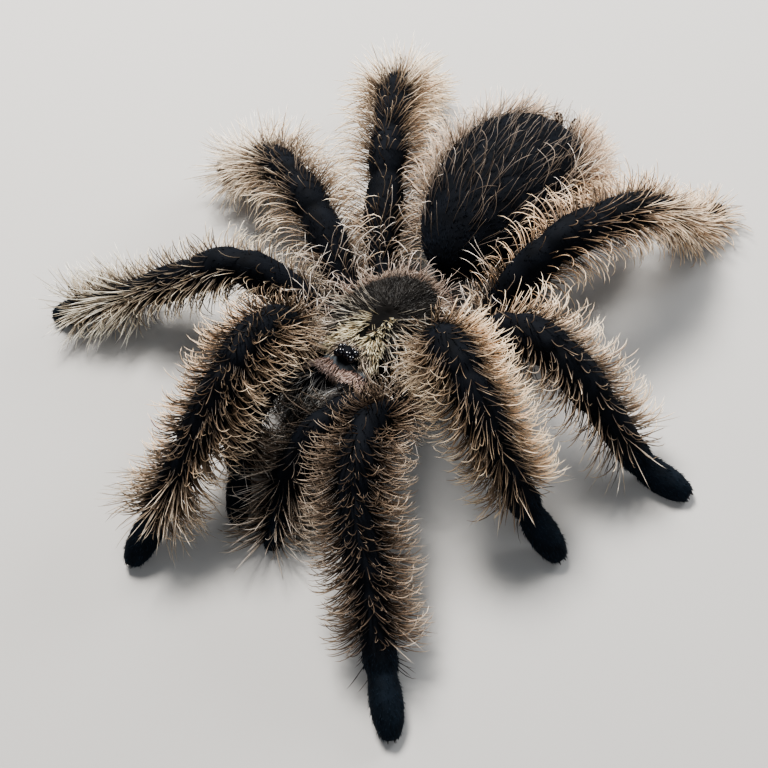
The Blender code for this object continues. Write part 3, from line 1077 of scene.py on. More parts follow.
class Coat:
    """A piece of coat: hairs of several kinds, joined in one mesh."""

    def __init__(self, name: str, skin: Skin, seed: int) -> None:
        """Starts an empty coat.

        Args:
            name: The piece's name.
            skin: What the hairs root in.
            seed: For the coat's own chance.
        """
        self.name = name
        self.skin = skin
        self.chance = np.random.default_rng(seed)
        self.points: list[Array] = []
        self.tones: list[Array] = []
        self.quads: list[Array] = []
        self.triangles: list[Array] = []
        self.quad_places: list[Array] = []
        self.triangle_places: list[Array] = []
        self.count = 0

    def scattered(self, count: int) -> Array:
        """Places spread evenly over a square, from a start that is left to chance."""
        return (self.chance.uniform(0, 1, 2) + np.arange(count)[:, None] * EVEN_STEPS) % 1.0

    def grow(self, seats: Seats, kind: HairKind, reach: float = ROOT_REACH) -> None:
        """Grows locks of one kind on seats.

        Args:
            seats: Where the locks stand.
            kind: What grows there.
            reach: How far a root may be from the skin.
        """
        if len(seats.points) == 0:
            return
        locks = len(seats.points)
        bend = np.repeat(self.chance.uniform(*kind.curl, locks), kind.per_lock)
        side = np.repeat(self.chance.normal(0, kind.stray, locks), kind.per_lock)
        seats = seats.repeated(kind.per_lock)
        offset = self.chance.normal(0, kind.spread, (len(seats.points), 2))
        seats.points = seats.points + seats.beside() * offset[:, :1] + seats.lie * offset[:, 1:]
        near = self.skin.settle(seats, reach)
        paths = self._paths(seats, kind, bend, side)
        tones = self._tones(seats, kind)
        near &= paths[:, :, 2].min(axis=1) > FLOOR_GAP
        if near.any():
            self._add(paths[near], tones[near], seats.places[near], kind.thickness)

    def _paths(self, seats: Seats, kind: HairKind, bend: Array, side: Array) -> Array:
        """The way each hair takes.

        Args:
            seats: A seat for each hair, on the skin.
            kind: The kind of hair.
            bend: The bend of each hair's lock, in degrees.
            side: How far each hair's lock strays from the lie, in degrees.

        Returns:
            The hairs' points, hair by ring.
        """
        chance, count = self.chance, len(seats.points)
        rise = np.radians(kind.rise + chance.normal(0, kind.stray * RISE_STRAY, count))
        stray = np.radians(side + chance.normal(0, kind.stray * SIDE_STRAY, count))
        level = seats.lie * np.cos(stray)[:, None] + seats.beside() * np.sin(stray)[:, None]
        way = unit(level * np.cos(rise)[:, None] + seats.normals * np.sin(rise)[:, None])
        bend = np.radians(bend + chance.normal(0, BEND_STRAY, count))
        axis = square(unit(np.cross(way, level) + kind.loose * chance.normal(0, 1, (count, 3))), way)
        step = chance.uniform(*kind.length, count) * seats.scale / kind.rings
        wave = np.radians(chance.normal(0, kind.wave, (kind.rings + 1, count)))

        shares = np.arange(kind.rings + 1) / kind.rings
        weights = shares[1:] ** kind.turn
        weights /= weights.sum()
        points = [seats.points - seats.normals * ROOT_DEPTH]
        for weight, swing in zip(weights, wave):
            way = turned(way, axis, bend * weight)
            if kind.wave:
                way = turned(way, seats.normals, swing)
                axis = turned(axis, seats.normals, swing)
            points.append(points[-1] + way * step[:, None])
        locks = np.stack(points, axis=1).reshape(-1, kind.per_lock, kind.rings + 1, 3)
        gather = (shares**CLUMP_TURN * kind.clump)[None, None, :, None]
        locks += (locks.mean(axis=1, keepdims=True) - locks) * gather
        return locks.reshape(count, kind.rings + 1, 3)

    def _tones(self, seats: Seats, kind: HairKind) -> Array:
        """The colours along each hair.

        Args:
            seats: A seat for each hair.
            kind: The kind of hair.

        Returns:
            The colours, hair by ring.
        """
        warmth = self.chance.normal(0, kind.warmth, (len(seats.points), 1)) * TONE_SWING
        shade = np.clip((1 + warmth) * seats.tint, *SHADES)
        root, middle, tip = (np.array(tone) for tone in kind.tones)
        tones = []
        for ring in range(kind.rings + 1):
            share = ring / kind.rings
            if share < MIDDLE_SHARE:
                tone = root + (middle - root) * share / MIDDLE_SHARE
            else:
                tone = middle + (tip - middle) * (share - MIDDLE_SHARE) / (1 - MIDDLE_SHARE)
            tone = tone[None] * shade
            tones.append(tone * np.minimum(1.0, PALEST / tone.max(axis=1, keepdims=True)))
        return np.stack(tones, axis=1)

    def _add(self, paths: Array, tones: Array, places: Array, thickness: float) -> None:
        """Makes tapering hairs of paths.

        Args:
            paths: The hairs' points, hair by ring.
            tones: The colour at each point.
            places: Each hair's place on the unwrap.
            thickness: Their radius at the root.
        """
        count, rings = paths.shape[0], paths.shape[1] - 1
        along = unit(np.gradient(paths, axis=1))
        aside = unit(np.cross(along, self.chance.normal(0, 1, (count, 1, 3))))
        third = np.cross(along, aside)
        taper = thickness * (1 - TAPER * (np.arange(rings) / rings) ** TAPER_TURN)
        thick = taper[None] * self.chance.uniform(*THICKNESSES, (count, 1))
        corners = []
        for corner in range(HAIR_SIDES):
            turn = 2 * math.pi * corner / HAIR_SIDES
            outwards = aside * math.cos(turn) + third * math.sin(turn)
            corners.append(paths[:, :rings] + outwards[:, :rings] * thick[:, :, None])
        body = np.stack(corners, axis=2).reshape(count, rings * HAIR_SIDES, 3)
        self.points.append(np.concatenate((body, paths[:, rings:]), axis=1).reshape(-1, 3))
        body_tones = np.repeat(tones[:, :rings], HAIR_SIDES, axis=1)
        self.tones.append(np.concatenate((body_tones, tones[:, rings:]), axis=1).reshape(-1, 3))

        per_hair = rings * HAIR_SIDES + 1
        first = self.count + np.arange(count)[:, None, None] * per_hair
        corner_places = (places * (1 - HAIR_PATCH))[:, None, None, :]
        sides, side_places, ends, end_places = strand(rings)
        self.quads.append((sides[None] + first).reshape(-1, 4))
        self.quad_places.append((corner_places + side_places[None] * HAIR_PATCH).reshape(-1, 2))
        self.triangles.append((ends[None] + first).reshape(-1, 3))
        self.triangle_places.append((corner_places + end_places[None] * HAIR_PATCH).reshape(-1, 2))
        self.count += count * per_hair

    def piece(self, material: bpy.types.Material, slot: Slot) -> bpy.types.Object:
        """The coat as one mesh with its tones and its map.

        Args:
            material: The hair's finish.
            slot: Not used.

        Returns:
            The piece.
        """
        points = np.concatenate(self.points) * MM
        quads, triangles = np.concatenate(self.quads), np.concatenate(self.triangles)
        places = np.concatenate((*self.quad_places, *self.triangle_places))
        mesh = bpy.data.meshes.new(self.name)
        mesh.vertices.add(len(points))
        mesh.vertices.foreach_set("co", points.astype(np.float32).ravel())
        mesh.loops.add(quads.size + triangles.size)
        corners = np.concatenate((quads.ravel(), triangles.ravel())).astype(np.int32)
        mesh.loops.foreach_set("vertex_index", corners)
        mesh.polygons.add(len(quads) + len(triangles))
        starts = np.concatenate((np.arange(len(quads)) * 4, quads.size + np.arange(len(triangles)) * 3))
        mesh.polygons.foreach_set("loop_start", starts.astype(np.int32))
        mesh.update(calc_edges=True)
        layer = mesh.uv_layers.new(name=MAP_NAME)
        layer.data.foreach_set("uv", places.astype(np.float32).ravel())
        set_tones(mesh, np.concatenate(self.tones))
        return set_piece(self.name, mesh, material)


# ----- Kinds of hair -----

BROWN = ((0.010, 0.007, 0.006), (0.082, 0.059, 0.042), (0.330, 0.258, 0.190))
TAN = ((0.014, 0.010, 0.007), (0.285, 0.205, 0.142), (0.850, 0.725, 0.570))
PALE = ((0.050, 0.041, 0.033), (0.640, 0.535, 0.425), (0.980, 0.900, 0.790))
PINK = ((0.034, 0.024, 0.020), (0.340, 0.252, 0.205), (0.800, 0.680, 0.590))
CREAM = ((0.030, 0.023, 0.019), (0.430, 0.345, 0.280), (0.930, 0.840, 0.740))
PEACH = ((0.060, 0.042, 0.030), (0.600, 0.440, 0.315), (0.960, 0.770, 0.590))
COMBED_BROWN = ((0.010, 0.007, 0.006), (0.072, 0.053, 0.040), (0.270, 0.210, 0.160))
GOLDEN = ((0.009, 0.007, 0.005), (0.350, 0.285, 0.175), (0.900, 0.830, 0.620))
BROW_BROWN = ((0.012, 0.009, 0.007), (0.130, 0.100, 0.075), (0.560, 0.480, 0.390))
OLIVE = ((0.010, 0.009, 0.007), (0.150, 0.132, 0.105), (0.600, 0.540, 0.450))
SOOT = ((0.004, 0.0036, 0.003), (0.0085, 0.0075, 0.0066), (0.026, 0.022, 0.0185))
HEM_BROWN = ((0.020, 0.013, 0.009), (0.170, 0.122, 0.092), (0.520, 0.410, 0.330))
GREY = ((0.008, 0.008, 0.009), (0.066, 0.063, 0.060), (0.300, 0.283, 0.258))
ROSE = ((0.018, 0.009, 0.007), (0.205, 0.132, 0.110), (0.620, 0.490, 0.430))
BLUE_BLACK = (0.0033, 0.0042, 0.0064)
SLATE = (0.052, 0.059, 0.066)
# The feet's skin: partly their own blue-black, partly painted sheen that makes it paler and bluer.
FOOT_BLACK_AND_SHEEN = (0.0040, 0.0066, 0.0105)
MAT_BLACK = (0.0042, 0.0036, 0.0032)
SPINNERET_BROWN = (0.022, 0.012, 0.0075)
NAP_TONES = (BLUE_BLACK, (0.0038, 0.0052, 0.0080), (0.0072, 0.0098, 0.0145))
# The feet's velvet: partly its own blue-black, partly painted sheen that makes it paler and bluer towards the
# tips.
FOOT_TONES_AND_SHEEN = ((0.0038, 0.0062, 0.0098), (0.0075, 0.0118, 0.0175), (0.024, 0.036, 0.050))
DARK = (BLUE_BLACK, (0.045, 0.036, 0.029), (0.180, 0.150, 0.125))

# On the limbs
FRINGE = HairKind(
    TAN, length=(4.5, 7.1), thickness=0.094, rise=60, curl=(-104, -24), rings=7, spread=0.3,
    stray=9, turn=1.3, wave=2,
)
HOOKS = HairKind(
    BROWN, length=(3.3, 5.4), thickness=0.092, rise=38, curl=(-112, -24), rings=6, spread=0.3,
    turn=1.3, wave=2,
)
SWEPT = HairKind(
    BROWN, length=(3.4, 5.6), thickness=0.084, rise=27, curl=(-44, 12), rings=5, spread=0.4,
    turn=1.0, wave=3,
)
FAN = HairKind(
    PALE, length=(6.0, 8.8), thickness=0.080, rise=56, curl=(-24, 14), rings=5, spread=0.4,
    stray=15, turn=1.0, wave=2,
)
WILD_HAIR = HairKind(
    CREAM, length=(6.0, 9.4), thickness=0.074, rise=46, curl=(-130, 50), rings=7, spread=0.5,
    stray=36, turn=1.1, wave=8, loose=0.7,
)
UNDER_HAIR = HairKind(
    DARK, length=(2.8, 5.0), thickness=0.070, rise=55, curl=(-30, 40), rings=4, spread=0.45,
    per_lock=2, clump=0.2,
)
NAP = HairKind(
    NAP_TONES, length=(0.9, 1.6), thickness=0.055, rise=26, curl=(0, 25), rings=2, spread=0.4,
    per_lock=3,
)
FOOT_NAP = HairKind(
    FOOT_TONES_AND_SHEEN, length=(0.6, 1.1), thickness=0.05, rise=36, curl=(0, 30), rings=2, spread=0.35,
    per_lock=4, warmth=0.35,
)

# On the abdomen
COMBED = HairKind(
    COMBED_BROWN, length=(5.0, 8.4), thickness=0.072, rise=14, curl=(-70, 36), rings=7, spread=0.3,
    stray=7, wave=6,
)
FLANK = HairKind(
    CREAM, length=(5.0, 8.2), thickness=0.080, rise=30, curl=(-170, 110), rings=8, spread=0.6,
    stray=42, wave=10, loose=0.9,
)
REAR_FRINGE = HairKind(
    PEACH, length=(4.8, 7.8), thickness=0.066, rise=50, curl=(-34, 20), rings=4, spread=0.6,
    per_lock=2, stray=15,
)
PILE = HairKind(
    NAP_TONES, length=(1.0, 1.8), thickness=0.055, rise=17, curl=(0, 18), rings=2, spread=0.45,
    per_lock=3,
)

# On the carapace
GOLD = HairKind(
    GOLDEN, length=(1.8, 3.1), thickness=0.098, rise=21, curl=(-30, 24), rings=4, spread=0.2,
    per_lock=2, clump=0.4, stray=15, warmth=0.5,
)
BROW = HairKind(
    BROW_BROWN, length=(1.4, 2.4), thickness=0.072, rise=20, curl=(-10, 30), rings=4, spread=0.26,
    per_lock=3, clump=0.3, stray=18,
)
STRANDS = HairKind(
    OLIVE, length=(3.6, 6.0), thickness=0.074, rise=15, curl=(-30, 28), rings=6, spread=0.5,
    stray=15, wave=4, warmth=0.4,
)
SHORT = HairKind(
    SOOT, length=(0.9, 1.9), thickness=0.062, rise=16, curl=(-10, 24), rings=3, spread=0.3,
    per_lock=3, clump=0.2, warmth=0.4,
)
HEM = HairKind(
    HEM_BROWN, length=(1.9, 3.2), thickness=0.064, rise=28, curl=(-10, 40), rings=4, spread=0.3,
    per_lock=3, clump=0.2, stray=16,
)
RIM = HairKind(
    PINK, length=(3.6, 6.2), thickness=0.074, rise=36, curl=(-100, 60), rings=7, spread=0.4,
    stray=32, wave=8, loose=0.7,
)

# On the jaws
BRISTLE = HairKind(
    GREY, length=(4.0, 7.0), thickness=0.070, rise=21, curl=(-20, 40), rings=6, spread=0.4,
    per_lock=2, clump=0.08, wave=3, warmth=0.4,
)
BAND = HairKind(
    ROSE, length=(1.8, 2.8), thickness=0.082, rise=28, curl=(0, 44), rings=4, spread=0.25,
    per_lock=2, stray=9,
)


# ----- The parts of the coat -----


@dataclass(frozen=True)
class LimbLook:
    """How one limb's coat differs. Its segments are counted from the start of the last but one."""

    tint: Colour  # times the tones of the long hair: partly the limb's own colour, partly painted shade
    long_until: float  # the segment where the long hair stops
    fan: float  # times the number of straight hairs that stream from the limb's end
    fan_from: float = 0.3  # the segment where they start
    fan_reach: float = 1.0  # times their length
    fan_tone: float = 1.0  # times their tones
    dense: float = 1.0  # times the number of the fringe's hairs
    reach: float = 1.0  # times their length
    fore: float = 0.55  # times the number of the fringe's hairs on the limb's fore side
    contrast: float = 1.25  # painted light: how much paler the fringe is behind, towards the light, than in front
    back: float = 1.0  # times the number of hairs on the limb's back
    back_tone: float = 1.0  # times their tones
    swept: float = 1.0  # from this share of the limb on, they lie along it and not in hooks
    bare_knee: bool = True  # whether the knee is bare velvet


# Each limb's tint is partly its own colour and partly painted shade: the palps and the left first leg are
# darkened as if they lay in shade.
LOOKS = {
    "palp_right": LimbLook(
        tint=(0.36, 0.36, 0.375), long_until=0.8, fan=0.5, fore=1.0, contrast=1.0, bare_knee=False,
    ),
    "palp_left": LimbLook(
        tint=(0.44, 0.43, 0.43), long_until=2.0, fan=2.2, reach=1.15, fore=1.0, contrast=1.0, bare_knee=False,
    ),
    "leg_right_1": LimbLook(
        tint=(1.14, 1.05, 0.95), long_until=1.1, fan=1.2, fan_tone=0.45, dense=1.2, fore=0.8, contrast=1.7,
        back=2.2, back_tone=0.6, bare_knee=False,
    ),
    "leg_left_1": LimbLook(
        tint=(0.45, 0.415, 0.395), long_until=0.68, fan=0.1, reach=0.98, fore=0.9, contrast=1.28,
        back=2.0, back_tone=1.4, bare_knee=False,
    ),
    "leg_right_2": LimbLook(
        tint=(1.04, 1.08, 1.06), long_until=1.5, fan=2.4, fan_from=0.0, fan_tone=0.75, reach=0.85, fore=0.6,
        back=1.1,
    ),
    "leg_left_2": LimbLook(
        tint=(1.34, 1.26, 1.14), long_until=0.75, fan=0.1, fan_tone=0.5, dense=1.4, contrast=2.0,
        back=1.8, back_tone=0.9, swept=0.0, bare_knee=False,
    ),
    "leg_right_3": LimbLook(
        tint=(1.34, 1.34, 1.32), long_until=1.3, fan=2.7, fan_from=-0.4, reach=1.36, fore=0.45, contrast=1.1,
        back=1.2, swept=0.66,
    ),
    "leg_left_3": LimbLook(
        tint=(1.08, 1.05, 1.0), long_until=0.75, fan=0.2, fan_tone=0.5, reach=1.1, fore=0.35, contrast=1.4,
        back=0.7,
    ),
    "leg_right_4": LimbLook(
        tint=(1.50, 1.47, 1.40), long_until=1.3, fan=2.9, fan_from=-0.4, reach=1.36, fore=0.7, contrast=1.05,
        back=1.5, swept=0.72,
    ),
    "leg_left_4": LimbLook(
        tint=(1.38, 1.27, 1.14), long_until=1.95, fan=3.8, fan_from=-0.5, fan_reach=0.60, reach=1.05,
        fore=0.7, back=1.2, swept=0.7,
    ),
}


def unwrapped(turns: Array, shares: Array) -> Array:
    """Places on the unwrap: the turn round a part across, and the share along the part upwards."""
    return np.stack((turns / (2 * math.pi) + 0.5, shares), axis=1)


@dataclass
class Spots:
    """Spots on a limb, one to a row, for the rules that say what grows where."""

    segment: Array  # the segment's number, from the body outwards
    share: Array  # of that segment
    turn: Array  # round the limb from its back, in radians

    def chosen(self, mask: Array, count: int) -> "Spots":
        """The first of the spots that a mask picks."""
        return Spots(*(getattr(self, name)[mask][:count] for name in self.__dataclass_fields__))

    @property
    def side(self) -> Array:
        """The turn from the limb's back to either side, in degrees."""
        return np.abs(np.degrees(self.turn))


LimbRule = Callable[[Spots], Array]
UNTINTED: Colour = (1.0, 1.0, 1.0)


@dataclass
class LimbCoat:
    """The coat of one limb."""

    form: LimbForm
    fringe_hairs: int = 640
    back_hairs: int = 290
    fan_hairs: int = 150
    under_locks: int = 150
    wild_hairs: int = 88
    nap_locks: int = 680
    foot_locks: int = 380
    palp_share: float = 0.5  # of these counts
    usual_fore: float = 0.8  # the fore side's share of hairs that the fringe's count is meant for
    tries: int = 12  # spots looked at for each that is kept
    ends: Range = (0.5, 0.2)  # bare of hair at the coxa and at the toe
    short_root: float = 0.45  # times the length of the hair at the coxa
    fade: float = 3.5  # how fast the long hair gives out
    fringe_turn: float = 98.0  # from the limb's back
    fringe_width: float = 30.0
    inner_palp: float = 0.15  # times the fringe between the palps
    back_width: float = 70.0  # to either side
    stripe: float = 22.0  # half angle between the two bare stripes of the back
    stripe_width: float = 9.0
    splay: float = 0.65  # how far the back's hair parts to both sides, as a share of its way outwards

    def __post_init__(self) -> None:
        """Looks up what is the limb's own."""
        self.limb = self.form.limb
        self.look = LOOKS[self.limb.name]
        self.last = len(self.limb.segments) - 1
        self.amount = self.palp_share if self.limb.is_palp else 1.0

    def beyond(self, spots: Spots) -> Array:
        """How many segments past the start of the last but one each spot is, or -1 well before."""
        return np.where(spots.segment < self.last - 2, -1.0, spots.segment - (self.last - 1) + spots.share)

    def long_hair(self, spots: Spots) -> Array:
        """How likely long hair is, this far along the limb."""
        return np.clip((self.look.long_until - self.beyond(spots)) * self.fade, 0, 1)

    def fringe(self, spots: Spots) -> Array:
        """Where the fringe along both sides grows.

        Args:
            spots: Spots on the limb.

        Returns:
            How likely it is at each.
        """
        fore = spots.turn * self.limb.side.value > 0
        likely = bell(spots.side - self.fringe_turn, self.fringe_width) * self.long_hair(spots)
        likely = likely * np.where(fore, self.look.fore, 1.0)
        if self.limb.is_palp:
            likely = np.where(fore & (spots.segment < 2), likely * self.inner_palp, likely)
        return np.where(spots.segment == 0, likely * np.clip((spots.share - 0.25) * 2.0, 0, 0.6), likely)

    def along_back(self, spots: Spots) -> Array:
        """Where the back's hair grows, thin on two stripes and on a bare knee.

        Args:
            spots: Spots on the limb.

        Returns:
            How likely it is at each.
        """
        stripe = np.abs(spots.side - self.stripe) < self.stripe_width
        femur, patella = spots.segment == 0, spots.segment == 1
        bare = self.look.bare_knee & ((femur & (spots.share > 0.66)) | (patella & (spots.share < 0.35)))
        likely = 0.8 * (spots.side < self.back_width) * np.where(stripe, 0.12, 1.0) * np.where(bare, 0.3, 1.0)
        likely = np.where(femur, likely * np.clip((spots.share - 0.15) * 1.5, 0, 0.7), likely)
        return likely * self.long_hair(spots)

    def fan(self, spots: Spots) -> Array:
        """Where the straight hairs of the limb's end grow, with fewer along the start of its back.

        Args:
            spots: Spots on the limb.

        Returns:
            How likely they are at each.
        """
        beyond = self.beyond(spots)
        streams = (beyond > self.look.fan_from) & (np.abs(spots.turn) < 2.5)
        top = (np.abs(spots.turn) < 0.5) & (beyond < self.look.fan_from + 1.1)
        return np.where(streams, self.long_hair(spots), 0.0) * np.where(top, 0.3, 1.0)

    def beneath(self, spots: Spots) -> Array:
        """Which spots are underneath, on all but the foot."""
        return (np.abs(spots.turn) > 1.9) & (spots.segment < self.last)

    def near_body(self, spots: Spots) -> Array:
        """Which spots are on the inner half of the femur, all but its underside."""
        inner = (spots.segment == 0) & (spots.share > 0.12) & (spots.share < 0.62)
        return inner & (np.abs(spots.turn) < 2.3)

    def above_foot(self, spots: Spots) -> Array:
        """Which spots are on all but the foot."""
        return spots.segment < self.last

    def foot(self, spots: Spots) -> Array:
        """Which spots are on the foot or the end of the segment before it."""
        near = (spots.segment == self.last - 1) & (spots.share > 0.7)
        return (spots.segment == self.last) | near

    def seats(self, coat: Coat, count: float, rule: LimbRule, tint: Colour = UNTINTED) -> Seats:
        """Places scattered over the limb, thinned by a rule.

        Args:
            coat: The coat, for its chance.
            count: How many to keep, rounded.
            rule: From spots to a likelihood from 0 to 1.
            tint: Times the tones of the hair that grows there.

        Returns:
            The seats.
        """
        length, count = self.form.line.length, round(count)
        evenly = coat.scattered(count * self.tries)
        distances = self.ends[0] + evenly[:, 0] * (length - sum(self.ends))
        turns = (evenly[:, 1] * 2 - 1) * math.pi
        spots = Spots(*self.form.segment_at(distances), turns)
        mask = coat.chance.uniform(0, 1, len(turns)) < rule(spots)
        distances, spots = distances[mask][:count], spots.chosen(mask, count)
        points, normals, along = self.form.skin(distances, spots.turn)
        scale = np.where(spots.segment == 0, np.clip(self.short_root + spots.share, 0, 1), 1.0)
        places = unwrapped(spots.turn, distances / length)
        return Seats(points, normals, along, places, scale, np.tile(np.array(tint), (len(points), 1)))

    def grow(self, coat: Coat) -> None:
        """Grows the limb's long hair into a coat.

        Args:
            coat: The coat.
        """
        look = self.look
        count = self.fringe_hairs * self.amount * look.dense * (1 + look.fore) / (1 + self.usual_fore)
        seats = self.seats(coat, count, self.fringe, look.tint)
        seats.scale = seats.scale * look.reach
        # Painted light: the fringe's hind side is made paler and its fore side darker.
        hind = (seats.places[:, :1] - 0.5) * self.limb.side.value < 0
        seats.tint = seats.tint * np.where(hind, look.contrast, 1 / look.contrast)
        coat.grow(seats, FRINGE)

        seats = self.seats(coat, self.back_hairs * self.amount * look.back, self.along_back, look.tint)
        seats.tint = seats.tint * look.back_tone
        apart = np.sign(seats.places[:, :1] - 0.5) * self.splay
        seats.lie = unit(seats.lie + np.cross(seats.lie, seats.normals) * apart)
        coat.grow(seats.chosen(seats.places[:, 1] < look.swept), HOOKS)
        coat.grow(seats.chosen(seats.places[:, 1] >= look.swept), SWEPT)

        seats = self.seats(coat, self.fan_hairs * self.amount * look.fan, self.fan, look.tint)
        seats.scale = seats.scale * look.fan_reach
        seats.tint = seats.tint * look.fan_tone
        coat.grow(seats, FAN)
        coat.grow(self.seats(coat, self.wild_hairs * self.amount, self.near_body), WILD_HAIR)
        coat.grow(self.seats(coat, self.under_locks, self.beneath), UNDER_HAIR)

    def grow_velvet(self, velvet: Coat) -> None:
        """Grows the short black velvet of the limb and its foot into a coat."""
        velvet.grow(self.seats(velvet, self.nap_locks * self.amount, self.above_foot), NAP)
        velvet.grow(self.seats(velvet, self.foot_locks * self.amount, self.foot), FOOT_NAP)


@dataclass
class AbdomenCoat:
    """The abdomen's coat: velvet, long curly hairs, and a fringe round the sides and the rear."""

    form: AbdomenForm
    combed_hairs: int = 290
    flank_hairs: int = 700
    fringe_locks: int = 1150
    pile_locks: int = 5200
    tries: int = 14  # spots looked at for each that is kept
    step: float = 0.004  # for the slope of the skin
    last_share: float = 0.9999
    narrowest: float = 0.02
    tube_reach: float = 4.6  # of the bare patch round the spinnerets, to both sides and down
    tube_start: float = 30.0
    back_turn: float = 1.25  # to either side, as all that follow
    flank_turn: float = 1.5
    flank_width: float = 0.40
    fringe_turn: float = 1.75
    fringe_width: float = 0.48
    top_turn: float = 0.95  # above the fringe of the rear

    def round_tubes(self, share: Array, turns: Array) -> Array:
        """Which spots are in the bare patch over and round the spinnerets."""
        x, y, z = self.form.surface(share, turns).T
        return (np.abs(x) < self.tube_reach) & (z > -self.tube_reach) & (y > self.tube_start)

    def back(self, share: Array, turns: Array) -> Array:
        """Where the combed hair of the back grows."""
        free = (np.abs(turns) < self.back_turn) & ~self.round_tubes(share, turns)
        return free * np.clip(share * 3.0 + 0.05, 0.3, 1)

    def flanks(self, share: Array, turns: Array) -> Array:
        """Where the wild hair of both sides grows."""
        return bell(np.abs(turns) - self.flank_turn, self.flank_width) * np.clip((share - 0.04) * 4, 0, 1)

    def rear(self, share: Array, turns: Array) -> Array:
        """Where the peach fringe grows, low on the sides and round the rear.

        Args:
            share: Shares along the egg.
            turns: Turns about it from its back.

        Returns:
            How likely it is there.
        """
        ring = np.clip((share - 0.86) * 9, 0, 1) * (np.abs(turns) >= self.top_turn)
        low = bell(np.abs(turns) - self.fringe_turn, self.fringe_width) * np.clip(share * 3 - 0.5, 0, 1)
        return np.where(self.round_tubes(share, turns), 0.0, np.clip(ring + low * 0.8, 0, 1))

    def everywhere(self, share: Array, turns: Array) -> Array:
        """The whole egg."""
        return np.ones(len(share))

    def seats(self, coat: Coat, count: int, rule: Callable[[Array, Array], Array]) -> Seats:
        """Places scattered over the egg, thinned by a rule.

        Args:
            coat: The coat, for its chance.
            count: How many to keep.
            rule: From the shares along and the turns about the egg to a likelihood.

        Returns:
            The seats.
        """
        evenly = coat.scattered(count * self.tries)
        share = (1 - np.cos(evenly[:, 0] * math.pi)) / 2
        turns = (evenly[:, 1] * 2 - 1) * math.pi
        wide = np.sqrt(np.maximum(self.narrowest, 1 - (share * 2 - 1) ** 2))
        mask = coat.chance.uniform(0, 1, len(turns)) < rule(share, turns) * wide
        share, turns = share[mask][:count], turns[mask][:count]
        points = self.form.surface(share, turns)
        further = self.form.surface(np.minimum(share + self.step, self.last_share), turns)
        lie = unit(further - points)
        normals = unit(np.cross(lie, self.form.surface(share, turns + self.step) - points))
        outward = points - np.array((0.0, self.form.length / 2, 0.0))
        normals *= np.sign(np.sum(normals * outward, axis=1, keepdims=True))
        form = self.form
        return Seats(form.placed(points), form.pointed(normals), form.pointed(lie), unwrapped(turns, share))

    def grow(self, coat: Coat) -> None:
        """Grows the abdomen's long hair into a coat.

        Args:
            coat: The coat.
        """
        coat.grow(self.seats(coat, self.combed_hairs, self.back), COMBED)
        coat.grow(self.seats(coat, self.flank_hairs, self.flanks), FLANK)
        coat.grow(self.seats(coat, self.fringe_locks, self.rear), REAR_FRINGE)

    def grow_velvet(self, velvet: Coat) -> None:
        """Grows the abdomen's short black velvet into a coat."""
        velvet.grow(self.seats(velvet, self.pile_locks, self.everywhere), PILE)


def in_oval(x: Array, y: Array, middle: float, size: Range) -> Array:
    """Which places are inside an oval on the head's midline."""
    return np.hypot(x / size[0], (y - middle) / size[1]) < 1


